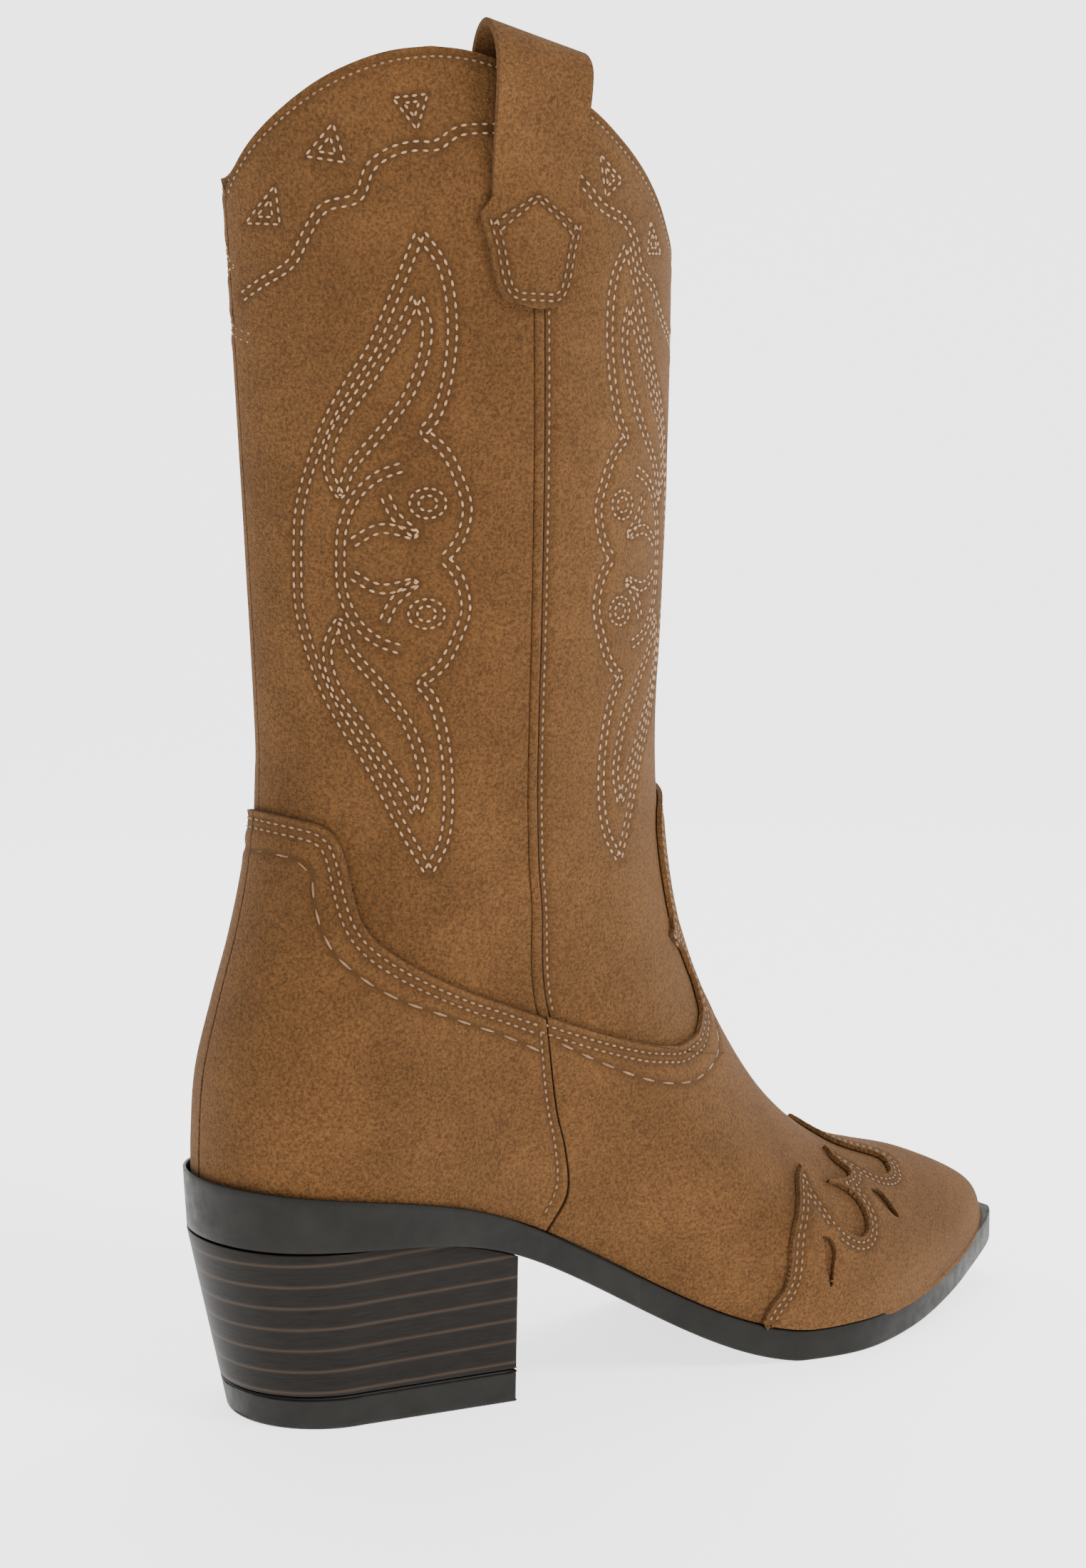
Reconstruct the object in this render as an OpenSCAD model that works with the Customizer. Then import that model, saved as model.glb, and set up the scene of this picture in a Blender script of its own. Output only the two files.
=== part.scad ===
// Pull-on western boot for the right foot, on a block heel.
// +X points to the toe, +Y to the inner side of the foot and +Z up.
// The origin is on the ground, midway along the sole and midway across the whole boot.

/* [Overall] */
// Length of the sole, from the back of the heel to the squared toe
sole_length = 282; // [230:1:340]
// Height of the top of the sole at the back of the heel
heel_height = 62; // [50:0.5:76]
// Height of the peaks at the sides of the shaft
shaft_height = 368; // [300:1:450]
// Width of the upper across the ball of the foot
ball_width = 83; // [68:1:100]

/* [Shaft] */
// Depth of the mouth, front to back
mouth_depth = 137; // [112:1:166]
// Width of the mouth
mouth_width = 104; // [86:1:126]
// Depth of the narrowest part of the shaft, above the ankle
throat_depth = 123; // [102:1:148]
// Width of the narrowest part of the shaft
throat_width = 93; // [76:1:112]
// Distance of the throat's back from the back of the heel
throat_setback = 21; // [10:0.5:30]
// Distance of the mouth's back from the back of the heel
mouth_setback = 11; // [0:0.5:24]
// Share of the mouth's half width that the inner side has: an empty shaft lies flatter on that side
inner_share = 0.66; // [0.6:0.02:1]
// Drop of the topline from the side peaks to its front dip
front_dip = 51; // [20:1:60]
// Drop of the topline from the side peaks to its back dip
back_dip = 34; // [16:1:50]
// Height by which the topline's inner side lies below its outer side
inner_drop = 11; // [0:1:16]

/* [Leather and lining] */
// Thickness of the suede
suede_t = 1.4; // [1:0.1:2]
// Thickness of the lining
lining_t = 0.9; // [0.6:0.1:1.4]
// Film of cement between two layers
cement = 0.3; // [0.25:0.05:0.4]
// Gap between two edges that meet at a seam
seam_gap = 0.3; // [0.2:0.05:0.6]
// Width that the vamp and counters lap over the shaft
lap = 9; // [6:0.5:12]
// Width of the welt in the side seams
side_welt = 2; // [1.4:0.1:3]

/* [Sole] */
// Thickness of the sole's edge
sole_t = 9.5; // [7:0.5:12]
// Distance that the sole stands out from the upper
sole_ledge = 2.8; // [1.5:0.1:5]
// Distance that the sole stands out from the toe
toe_ledge = 5.5; // [4:0.5:8]
// Rise of the toe's tip above the ground
toe_spring = 12.5; // [6:0.5:18]
// Fall of the heel seat from its back to the front of the heel
seat_fall = 10; // [4:0.5:14]

/* [Heel] */
// Length of the heel's top, from its back to its front face
heel_length = 84; // [70:1:96]
// Radius of the round back at the top of the heel
heel_top_r = 33; // [28:0.5:38]
// Radius of the round back at the foot of the heel
heel_foot_r = 27; // [22:0.5:34]
// Distance that the heel's back slopes in from top to foot
heel_slope = 11; // [4:0.5:16]
// Width of the heel's front face at the top
heel_front_top = 66; // [56:1:72]
// Width of the heel's front face at the foot
heel_front_foot = 63; // [52:1:70]
// Thickness of the top-lift that meets the ground
top_lift_t = 9.5; // [5:0.5:12]

/* [Inside the sole] */
// Thickness of the insole board
insole_t = 2.3; // [1.5:0.1:3]
// Thickness of the filler between the sole and the insole board
filler_t = 1.6; // [1:0.1:2.5]
// Thickness of the sock liner
sock_t = 0.9; // [0.6:0.1:1.5]
// Thickness of the foam heel pad
heel_pad_t = 2.5; // [1.5:0.1:4]
// Width of the steel shank
shank_w = 15; // [10:0.5:20]
// Thickness of the steel shank
shank_t = 1.2; // [0.8:0.1:1.5]

/* [Pull straps] */
// Width of each strap at its loop
strap_w = 28; // [22:0.5:34]
// Width of each strap at its waist, above the tab
strap_waist = 25; // [20:0.5:30]
// Thickness of each strap
strap_t = 1.8; // [1.2:0.1:2.4]
// Distance from the middle of the shaft's wall to the middle of each leg of the loop
strap_standoff = 7; // [6.5:0.25:9]
// Height of the loop's top above the hinge line at the topline
loop_rise = 13.5; // [12:0.5:24]
// Width of the sewn tab at its shoulders
tab_w = 31; // [26:0.5:38]
// Height of the tab below its shoulders
tab_drop = 24; // [18:0.5:32]
// Distance from the hinge line down to the tab's shoulders
tab_depth = 36; // [30:0.5:48]
// Length of the strap's tail inside the shaft, below the hinge line
tail_l = 34; // [28:1:44]

/* [Fasteners] */
// Radius of the heel screw
screw_r = 2.5; // [2:0.1:3.5]
// Length of the heel screw
screw_l = 32; // [24:1:36]
// Radius of the heel nails and top-lift nails
nail_r = 1.1; // [0.8:0.1:1.5]
// Length of the heel nails
nail_l = 24; // [18:1:28]
// Length of the top-lift nails
lift_nail_l = 15; // [12:1:20]
// Clearance round screws and nails
hole_gap = 0.1; // [0.05:0.05:0.2]

/* [Hidden] */
suede = [0.56, 0.40, 0.25];
lining_tan = [0.72, 0.60, 0.45];
sole_brown = [0.20, 0.18, 0.16];
steel = [0.7, 0.7, 0.72];

// Plain helpers
function lerp(a, b, t) = a + (b - a) * t;
function clamp(x, low, high) = max(low, min(high, x));
function unit(v) = v / max(norm(v), 1e-9);
function ramp(x, a, b) = let (t = clamp((x - a) / (b - a), 0, 1)) t * t * (3 - 2 * t);
// Smooth curve through a table of [place, value] pairs
function through(table, x, i = 0) =
    i < len(table) - 2 && x > table[i + 1][0] ? through(table, x, i + 1) :
    let (last = len(table) - 1, a = table[i], b = table[i + 1], h = b[0] - a[0], t = (x - a[0]) / h,
        before = i > 0 ? table[i - 1] : a, after = i + 1 < last ? table[i + 2] : b,
        slope_a = (b[1] - before[1]) / (b[0] - before[0]),
        slope_b = (after[1] - a[1]) / (after[0] - a[0]))
    a[1] * (2 * t * t * t - 3 * t * t + 1) + h * slope_a * (t * t * t - 2 * t * t + t)
    + b[1] * (3 * t * t - 2 * t * t * t) + h * slope_b * (t * t * t - t * t);
// The same with a stated slope at each [place, value, slope]
function bent(table, x, i = 0) =
    i < len(table) - 2 && x > table[i + 1][0] ? bent(table, x, i + 1) :
    let (a = table[i], b = table[i + 1], h = b[0] - a[0], t = (x - a[0]) / h)
    a[1] * (2 * t * t * t - 3 * t * t + 1) + h * a[2] * (t * t * t - 2 * t * t + t)
    + b[1] * (3 * t * t - 2 * t * t * t) + h * b[2] * (t * t * t - t * t);
// Catmull-Rom curve through rows of numbers, one row per whole step
function flow(rows, v) =
    let (n = len(rows) - 1, i = clamp(floor(v), 0, n - 1), t = v - i, b = rows[i], c = rows[i + 1],
        a = i > 0 ? rows[i - 1] : 2 * b - c, d = i < n - 1 ? rows[i + 2] : 2 * c - b)
    0.5 * (2 * b + (c - a) * t + (2 * a - 5 * b + 4 * c - d) * t * t + (3 * b - a - 3 * c + d) * t * t * t);

// Side profile of the sole: distances from the back of the heel, heights above the ground
ball_back = 0.61 * sole_length;
ball_front = 0.68 * sole_length;
tread_rise = 0.2;
tread_line = [
    [0, heel_height, -0.11],
    [heel_length, heel_height - seat_fall, -0.42],
    [ball_back, sole_t + tread_rise, -0.16],
    [ball_front, sole_t, 0],
    [sole_length, sole_t + toe_spring, 0.22]];
function sole_top(x) = bent(tread_line, clamp(x + sole_length / 2, 0, sole_length));
function sole_bottom(x) = max(0, sole_top(x) - sole_t);

// Outline of the foot on each side: [share of the way from toe to heel, share of half the ball's width]
outer_outline = [[0, 0.72], [0.057, 0.92], [0.135, 1.07], [0.213, 1.17], [0.309, 1.19], [0.42, 1.0],
    [0.549, 0.82], [0.697, 0.83], [0.889, 1.2], [1, 1.54]];
inner_outline = [[0, 0.70], [0.057, 0.89], [0.135, 0.99], [0.213, 1.02], [0.309, 0.97], [0.42, 0.77],
    [0.549, 0.66], [0.697, 0.80], [0.889, 1.2], [1, 1.54]];
toe_inset = 5;
// Front and back of the foot, from the sole up to the throat.
// Each pair is a share of the way across to the throat's front or back, and a share of the way up.
front_curve = [[1, 0], [0.955, 0.058], [0.765, 0.128], [0.518, 0.185], [0.312, 0.303], [0.148, 0.482],
    [0.055, 0.647], [0.012, 0.824], [0, 1]];
back_curve = [[0.04, 0], [0.05, 0.13], [0.13, 0.273], [0.39, 0.422], [0.66, 0.555], [0.86, 0.68],
    [0.97, 0.79], [1, 0.90], [1, 1]];
// Section of each ring: width of the foot's outline, how round it is, share of the throat's half width
// and how far the toe shifts to the inner side
foot_sections = [[1, 0, 0.86, 1], [1.03, 0.08, 0.86, 1], [1.02, 0.25, 0.86, 0.9], [0.96, 0.5, 0.86, 0.6],
    [0.92, 0.72, 0.86, 0.3], [0.9, 0.88, 0.87, 0.1], [0.9, 0.97, 0.9, 0], [0.9, 1, 0.957, 0], [0.9, 1, 1, 0]];
foot_rings = len(front_curve) - 1;
toe_x = sole_length / 2 - toe_ledge;
heel_x = sole_ledge - sole_length / 2;
throat_back = throat_setback - sole_length / 2;
throat_front = throat_back + throat_depth;
mouth_back = mouth_setback - sole_length / 2;
mouth_front = mouth_back + mouth_depth;
throat_above_heel = 128;
throat_z = heel_height + throat_above_heel;
// Shaft rings: share of the way from the throat up to the peaks
shaft_steps = [0.225, 0.4775, 0.73, 1, 1.27];
function foot_ring(i) =
    let (f = front_curve[i], b = back_curve[i], s = foot_sections[i], z_toe = sole_top(toe_x),
        z_heel = sole_top(heel_x))
    [lerp(throat_front, toe_x, f.x), lerp(z_toe, throat_z, f.y), lerp(heel_x, throat_back, b.x),
        lerp(z_heel, throat_z, b.y), s[0], s[1], s[2] * throat_width / 2, s[3] * toe_inset];
function shaft_ring(t) =
    let (z = lerp(throat_z, shaft_height, t), open = sin(90 * clamp(1.25 * t, 0, 1)),
        half = lerp(throat_width, mouth_width, open) / 2)
    [lerp(throat_front, mouth_front, open), z, lerp(throat_back, mouth_back, pow(t, 1.1)), z, 0.9, 1, half, 0];
rings = [for (i = [0:foot_rings]) foot_ring(i), for (t = shaft_steps) shaft_ring(t)];
// How far the shaft's front and back draw in to a ridge
front_ridge = 0.12;
back_ridge = 0.33;

// Share of the shaft's half width at ring v, on the side that a positive side stands for
function flatness(side, v) = side > 0 ? 1 - (1 - inner_share) * ramp(v, 4.5, 12.5) : 1;
// Outer face of the inner layer of the upper. u goes round from the toe (0) by the inner side (90)
// and the heel (180) to the outer side (270), v goes up from the sole (0) ring by ring.
function skin(u, v) =
    let (q = flow(rings, max(v, 0)), s = (1 - cos(u)) / 2, side = sin(u),
        x = lerp(q[0], q[2], s),
        outline = through(side >= 0 ? inner_outline : outer_outline, s) * ball_width / 2,
        ridge = 1 - (back_ridge * pow(s, 5) + front_ridge * pow(1 - s, 5)) * ramp(v, 3, 8),
        half = lerp(q[4] * outline, q[6] * ridge, q[5]) * flatness(side, v),
        sag = sole_top(lerp(toe_x, heel_x, s)) - lerp(sole_top(toe_x), sole_top(heel_x), s))
    [x, q[7] * (1 - s) * (1 - s) + half * side, lerp(q[1], q[3], s) + (1 - q[5]) * sag];
function facing(u, v) =
    let (n = cross(skin(u + 1, v) - skin(u - 1, v), skin(u, v + 0.03) - skin(u, max(v - 0.03, 0))))
    unit([n.x, n.y, n.z * clamp(v, 0, 1)]);
// A point of a layer that lies out from the skin; nothing sinks into the film of cement on the sole
bed = 0.3;
function layer(u, v, out) =
    let (p = skin(u, v) + out * facing(u, v))
    [p.x, p.y, max(p.z, sole_top(p.x) + bed)];

// Topline: share of the drop from the side peaks to each dip, by the angle from the toe
peak_u = 113;
topline_front = [[0, 1], [20, 0.93], [36, 0.8], [46, 0.65], [56, 0.5], [66, 0.365], [75, 0.25], [90, 0.11],
    [104, 0.02], [peak_u, 0]];
topline_back = [[peak_u, 0], [122, 0.035], [130, 0.11], [139, 0.23], [151, 0.44], [165, 0.7], [180, 1]];
function round_u(u) = let (a = ((u % 360) + 360) % 360) a > 180 ? 360 - a : a;
function inner_fall(u) = inner_drop * ramp(sin(u), 0, 0.5);
function topline_z(u) =
    let (a = round_u(u))
    shaft_height - inner_fall(u)
    - (a < peak_u ? front_dip * through(topline_front, a) : back_dip * through(topline_back, a));
// The ring number at a height of the shaft, by halving the step
function ring_at(z, low = foot_rings - 1, high = foot_rings + len(shaft_steps), n = 0) =
    n > 14 ? (low + high) / 2 :
    let (middle = (low + high) / 2)
    flow(rings, middle)[1] < z ? ring_at(z, middle, high, n + 1) : ring_at(z, low, middle, n + 1);
function top_v(u) = ring_at(topline_z(u));

// Seams. The side seam runs from the sole up to the lap and on up the shaft to the topline.
seam_foot_u = 110;
seam_lap_u = 95;
seam_shaft_u = 91;
lap_v = 4.37;
function seam_u(v) =
    v < lap_v ? lerp(seam_foot_u, seam_lap_u, v / lap_v) : lerp(seam_lap_u, seam_shaft_u, ramp(v, lap_v, 6));
seam_half_u = (side_welt / 2 + seam_gap) / throat_width * 2 * 180 / PI;
foot_half_u = seam_gap / ball_width * 180 / PI;
back_half_u = 2 * foot_half_u;
rings_per_mm = foot_rings / (throat_z - heel_height);
lap_rings = lap * rings_per_mm;
// Edge of the vamp round the instep and its scalloped tongue: [height, half angle]
tongue_edge = [[lap_v, 95], [4.40, 84], [4.43, 72], [4.48, 60], [4.65, 50], [4.94, 39.5], [5.28, 33], [5.6, 37],
    [5.8, 43], [5.84, 38.5], [6.0, 37], [6.3, 36.8], [6.63, 37.4], [6.9, 37.5], [7.1, 34], [7.25, 26], [7.34, 14],
    [7.38, 3]];
// Edge of the counters: [angle from the toe, height]
counter_edge = [[seam_lap_u, lap_v], [104, 4.31], [112, 4.25], [120, 4.28], [128, 4.41], [134, 4.62],
    [137, 4.9], [139, 5.35], [140.5, 5.8], [143, 6.13], [148, 6.3], [153, 6.33], [159, 6.34], [165, 6.35],
    [171, 6.355], [176, 6.36], [180, 6.36]];
// Hidden lower edges of the shaft, under the vamp and counters: [angle from the toe, height above the full lap]
front_hem = [[0, 6.1], [14, 5.9], [24, 5.4], [32, 4.95], [40, 4.7], [50, 4.55], [62, 4.45], [95, 4.4]];
back_hem = [[91, 4.4], [112, 4.25], [128, 4.41], [134, 4.5], [140, 4.9], [146, 5.7], [152, 6.2], [180, 6.36]];
function front_hem_v(u) = through(front_hem, min(round_u(u), 95)) - lap_rings;
function back_hem_v(u) = through(back_hem, max(round_u(u), 91)) - lap_rings;

// A closed sheet between two grids of points, each a list of equal rows
module sheet(front, back) {
    rows = len(front) - 1;
    cols = len(front[0]) - 1;
    size = (rows + 1) * (cols + 1);
    function at(i, j) = i * (cols + 1) + j;
    rim = concat([for (j = [0:cols]) at(0, j)], [for (i = [1:rows]) at(i, cols)],
        [for (j = [cols - 1:-1:0]) at(rows, j)], [for (i = [rows - 1:-1:1]) at(i, 0)]);
    polyhedron(
        [for (row = front) each row, for (row = back) each row],
        [for (i = [0:rows - 1], j = [0:cols - 1]) each [
            [at(i, j), at(i + 1, j), at(i + 1, j + 1)], [at(i, j), at(i + 1, j + 1), at(i, j + 1)],
            [size + at(i, j), size + at(i + 1, j + 1), size + at(i + 1, j)],
            [size + at(i, j), size + at(i, j + 1), size + at(i + 1, j + 1)]],
        for (k = [0:len(rim) - 1]) let (a = rim[k], b = rim[(k + 1) % len(rim)]) each [
            [a, b, size + b], [a, size + b, size + a]]]);
}
// A layer over rows of [angle, height] places on the skin, from one distance out of it to another.
// It is drawn for the inner side; side -1 puts it on the outer side.
module leather(places, low, high, side = 1) {
    last = len(places) - 1;
    grid = [for (i = [0:last]) [for (p = places[side > 0 ? i : last - i]) [side * p.x, p.y]]];
    sheet([for (row = grid) [for (p = row) layer(p.x, p.y, high)]],
        [for (row = grid) [for (p = row) layer(p.x, p.y, low)]]);
}
function steps(a, b, n) = [for (i = [0:n]) lerp(a, b, i / n)];

// Distances out from the skin: the shaft lies below it, the vamp and counters above it
shaft_low = -suede_t;
lining_high = shaft_low - cement;
lining_low = lining_high - lining_t;
shaft_wall = -lining_low;
over_low = cement;
over_high = over_low + suede_t;
cap_low = over_high + cement;
cap_high = cap_low + suede_t;

// Columns of a front piece as shares of its half angle, and rows up the shaft as shares of its height
half_shares = [0, 0.04, 0.085, 0.135, 0.19, 0.255, 0.33, 0.42, 0.52, 0.63, 0.75, 0.87, 1];
shares = concat([for (i = [len(half_shares) - 1:-1:1]) -half_shares[i]], half_shares);
shaft_ups = [0, 0.035, 0.07, 0.105, 0.145, 0.19, 0.24, 0.3, 0.37, 0.45, 0.55, 0.66, 0.77, 0.88, 1];
foot_heights = [0, 0.35, 0.7, 1.15, 1.65, 2.2, 2.75, 3.3, 3.8];

function vamp_half(v) = (v < lap_v ? seam_u(v) : through(tongue_edge, v)) - foot_half_u;
function vamp_place(share, v) = [share * vamp_half(v), v];
module vamp() color(suede)
    leather([for (v = concat(foot_heights, [4.1], [for (e = tongue_edge) e[0]]))
        [for (share = shares) vamp_place(share, v)]],
        over_low, over_high);

// Quarter of the foot behind the side seam: each column runs from the sole to a point of the counter's edge
counter_ups = steps(1, 0, 8);
function counter_place(edge, up) =
    let (back = (edge[0] - seam_lap_u) / (180 - seam_lap_u), gap = lerp(foot_half_u, -back_half_u, back))
    [lerp(lerp(seam_foot_u, 180, back), edge[0], up) + gap, edge[1] * up];
module counter(side) color(suede)
    leather([for (e = counter_edge) [for (up = counter_ups) counter_place(e, up)]], over_low, over_high, side);
module counter_outer() counter(-1);
module counter_inner() counter(1);

// Shaft panels, from their hidden hems up to the topline
module shaft_front() color(suede)
    leather([for (up = shaft_ups) [for (share = shares)
        let (u = share * (seam_shaft_u - seam_half_u), v = lerp(front_hem_v(u), top_v(u), up))
        [share * (seam_u(v) - seam_half_u), v]]],
        shaft_low, 0);
back_shares = [0, 0.1, 0.2, 0.3, 0.4, 0.5, 0.6, 0.7, 0.79, 0.87, 0.94, 1];
module shaft_back(side) color(suede)
    leather([for (back = back_shares) [for (i = [len(shaft_ups) - 1:-1:0])
        let (u = lerp(seam_shaft_u, 180, back), v = lerp(back_hem_v(u), top_v(side * u), shaft_ups[i]))
        [lerp(seam_u(v) + seam_half_u, 180 - back_half_u, back), v]]],
        shaft_low, 0, side);
module shaft_back_outer() shaft_back(-1);
module shaft_back_inner() shaft_back(1);
// Narrow welt that fills the side seam and stands a little proud of it
welt_half_u = side_welt / throat_width * 180 / PI;
welt_rise = 0.1;
module side_welt_piece(side) color(suede)
    leather([for (across = [-1, 1]) [for (i = [len(shaft_ups) - 1:-1:0])
        let (v = lerp(front_hem_v(seam_shaft_u), top_v(side * seam_shaft_u), shaft_ups[i]))
        [seam_u(v) + across * welt_half_u, v]]],
        shaft_low, welt_rise, side);
module side_welt_outer() side_welt_piece(-1);
module side_welt_inner() side_welt_piece(1);

// Linings, one layer inside the upper. The lining of the foot ends a little below the lap.
split_v = 3.8;
split_up = 0.875;
split_gap = 2 * seam_gap * rings_per_mm;
module shaft_lining_front() color(lining_tan)
    leather([for (up = shaft_ups) [for (share = shares)
        let (u = share * (seam_shaft_u - foot_half_u)) [u, lerp(split_v + split_gap, top_v(u), up)]]],
        lining_low, lining_high);
// Columns right round the back, from seam to seam
whole_back_shares = concat(back_shares, [for (i = [len(back_shares) - 2:-1:0]) 2 - back_shares[i]]);
module shaft_lining_back() color(lining_tan)
    leather([for (up = shaft_ups) [for (share = whole_back_shares)
        let (u = lerp(seam_shaft_u + foot_half_u, 180, share),
            low = split_up * through(counter_edge, max(round_u(u), seam_lap_u)))
        [u, lerp(low + split_gap, top_v(u), up)]]],
        lining_low, lining_high);
module vamp_lining() color(lining_tan)
    leather([for (v = foot_heights) [for (share = shares) vamp_place(share, v)]], lining_low, lining_high);
// Whole width of a heel piece, out of the columns of the two counters
function heel_columns(first, low_up) =
    let (cols = [for (i = [first:len(counter_edge) - 1])
            [for (up = counter_ups) if (up <= low_up) counter_place(counter_edge[i], up)]],
        last = len(cols) - 1)
    concat([for (i = [0:last - 1]) cols[i]], [for (i = [last - 1:-1:0]) [for (p = cols[i]) [360 - p.x, p.y]]]);
module heel_lining() color(lining_tan)
    leather(heel_columns(0, split_up), lining_low, lining_high);

// Stiffeners between the upper and its lining
puff_share = 0.52;
puff_top_v = 2;
module toe_puff() color([0.85, 0.83, 0.78])
    leather([for (v = foot_heights) if (v < puff_top_v) [for (share = shares) if (abs(share) <= puff_share)
        vamp_place(share, v)]],
        shaft_low, 0);
stiffener_up = 0.75;
module heel_stiffener() color([0.75, 0.70, 0.60])
    leather(heel_columns(2, stiffener_up), shaft_low, 0);

// Toe overlay with flame-shaped points, cut from a shell over the toe by its outline seen from the side
cap_share = 0.8;
module flame_outline()
    translate([sole_length / 2, 0]) polygon([
        [30, -20], [-119, 12], [-96, 55.5], [-92.5, 45], [-81, 29.5], [-82, 40], [-89, 50], [-77.5, 48.5],
        [-80.5, 56], [-62, 51], [-55.5, 44.5], [-64, 54.5], [-84, 62], [-80, 90], [30, 90]]);
module toe_cap() color(suede)
    intersection() {
        leather([for (v = foot_heights) [for (share = shares) if (abs(share) <= cap_share) vamp_place(share, v)]],
            cap_low, cap_high);
        rotate([90, 0, 0])
            linear_extrude(2 * ball_width, center = true)
            flame_outline();
    }

// Flat outlines, standing out from the foot of the upper by a distance at each angle
function toe_share(u) = 1 - ramp(round_u(u), 0, 34);
function plan_at(u, out) =
    let (p = skin(u, 0), way = skin(u + 1, 0) - skin(u - 1, 0), n = unit([way.y, -way.x]))
    [p.x, p.y] + out * n;
module sole_plan()
    intersection() {
        polygon([for (u = [0:5:355]) plan_at(u, lerp(sole_ledge, toe_ledge + 1.5, toe_share(u)))]);
        translate([-sole_length / 2, -ball_width]) square([sole_length, 2 * ball_width]);
    }
inside_gap = 1;
toe_lean = 4;
module inside_plan()
    polygon([for (u = [0:6:354]) plan_at(u, lining_low - inside_gap - toe_lean * toe_share(u))]);
// Slab that follows the top of the sole between two heights above it
profile_x = steps(-sole_length / 2, sole_length / 2, 44);
module over_sole(low, high)
    rotate([90, 0, 0])
    linear_extrude(3 * ball_width, center = true)
    polygon(concat([for (x = profile_x) [x, sole_top(x) + high(x)]],
        [for (i = [len(profile_x) - 1:-1:0]) let (x = profile_x[i]) [x, sole_top(x) + low(x)]]));
module slab(low, high)
    intersection() {
        linear_extrude(heel_height + 40) inside_plan();
        over_sole(low, high);
    }

// Heel: screw in its middle, nails round it, and nails that hold the top-lift
heel_back = -sole_length / 2;
heel_front = heel_back + heel_length;
heel_mid = heel_back + 0.52 * heel_length;
heel_nail_places = [[0.24, 0], [0.36, 0.5], [0.36, -0.5], [0.78, 0.5], [0.78, -0.5]];
lift_nail_places = [[0.3, 0], [0.5, 0.5], [0.5, -0.5], [0.85, 0.6], [0.85, -0.6]];
function heel_place(p) = [heel_back + p.x * heel_length, p.y * heel_foot_r];
head_t = 0.8;
head_sink = 0.7;
function head_z(x) = sole_top(x) + filler_t + cement + insole_t - head_sink;
module screw_at(r, length, spare = 0) {
    translate([0, 0, -length - spare]) cylinder(r = r + spare, h = length + 2 * spare, $fn = 24);
    translate([0, 0, -head_t - spare]) cylinder(r = 1.8 * r + spare, h = head_t + 3 * spare, $fn = 24);
}
module heel_screws(spare = 0)
    translate([heel_mid, 0, head_z(heel_mid)]) screw_at(screw_r, screw_l, spare);
module heel_nail_set(spare = 0)
    for (p = heel_nail_places) let (c = heel_place(p))
        translate([c.x, c.y, head_z(c.x)]) screw_at(nail_r, nail_l, spare);
lift_nail_z = 3;
module lift_nail_set(spare = 0)
    for (p = lift_nail_places) let (c = heel_place(p))
        translate([c.x, c.y, lift_nail_z - spare])
        cylinder(r = nail_r + spare, h = lift_nail_l + 2 * spare, $fn = 24);
module fastener_holes() {
    heel_screws(hole_gap);
    heel_nail_set(hole_gap);
}
module heel_screw() color(steel) heel_screws();
module heel_nails() color(steel) heel_nail_set();
module top_lift_nails() color(steel) lift_nail_set();

module outsole() color(sole_brown)
    difference() {
        intersection() {
            linear_extrude(heel_height + 40) sole_plan();
            over_sole(function(x) sole_bottom(x) - sole_top(x), function(x) 0);
        }
        fastener_holes();
    }
// Outline of the heel: share 0 at the ground, 1 at its top
function heel_outline(share) =
    let (r = lerp(heel_foot_r, heel_top_r, share), back = heel_back + heel_slope * (1 - share) + 0.5,
        half = lerp(heel_front_foot, heel_front_top, share) / 2)
    concat([[heel_front, -half]], [for (a = [270:-9:90]) [back + r + r * cos(a), r * sin(a)]],
        [[heel_front, half]]);
heel_top_z = heel_height - sole_t;
module heel_block() color([0.24, 0.19, 0.15])
    difference() {
        intersection() {
            heel_body();
            over_sole(function(x) -2 * heel_height, function(x) sole_bottom(x) - sole_top(x) - cement);
        }
        fastener_holes();
        lift_nail_set(hole_gap);
    }
module heel_body() {
    low_z = top_lift_t + cement;
    low = heel_outline(low_z / heel_top_z);
    high = heel_outline(1.1);
    n = len(low);
    polyhedron(
        [for (p = low) [p.x, p.y, low_z], for (p = high) [p.x, p.y, 1.1 * heel_top_z]],
        [[for (i = [0:n - 1]) n - 1 - i], [for (i = [0:n - 1]) n + i],
        for (i = [0:n - 1]) let (j = (i + 1) % n) each [[i, n + j, n + i], [i, j, n + j]]]);
}
module top_lift() color(sole_brown)
    difference() {
        linear_extrude(top_lift_t) polygon(heel_outline(top_lift_t / heel_top_z));
        lift_nail_set(hole_gap);
    }

// Shank and filler lie in one layer between the sole and the insole board
shank_back = heel_back + 0.6 * heel_length;
shank_front = heel_back + 0.58 * sole_length;
module shank_shape(spare = 0)
    intersection() {
        linear_extrude(heel_height + 40)
            translate([shank_back - spare, -shank_w / 2 - spare])
            square([shank_front - shank_back + 2 * spare, shank_w + 2 * spare]);
        over_sole(function(x) cement - spare, function(x) cement + shank_t + spare);
    }
module shank() color(steel) shank_shape();
module sole_filler() color([0.55, 0.42, 0.28])
    difference() {
        slab(function(x) cement, function(x) filler_t);
        shank_shape(filler_t);
        fastener_holes();
    }
module insole_board() color([0.78, 0.70, 0.58])
    difference() {
        slab(function(x) filler_t + cement, function(x) filler_t + cement + insole_t);
        fastener_holes();
    }
insole_top = filler_t + cement + insole_t;
pad_end = heel_back + 0.95 * heel_length;
pad_taper = 14;
function pad_rise(x) = (heel_pad_t + cement) * (1 - ramp(x, pad_end - pad_taper, pad_end));
module heel_pad() color([0.9, 0.85, 0.6])
    intersection() {
        slab(function(x) insole_top + cement, function(x) insole_top + cement + max(pad_rise(x) - cement, 0.4));
        translate([heel_back, -ball_width, 0]) cube([pad_end - 4 - heel_back, 2 * ball_width, 2 * heel_height]);
    }
module sock_liner() color(lining_tan)
    slab(function(x) insole_top + cement + pad_rise(x), function(x) insole_top + cement + pad_rise(x) + sock_t);

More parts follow.
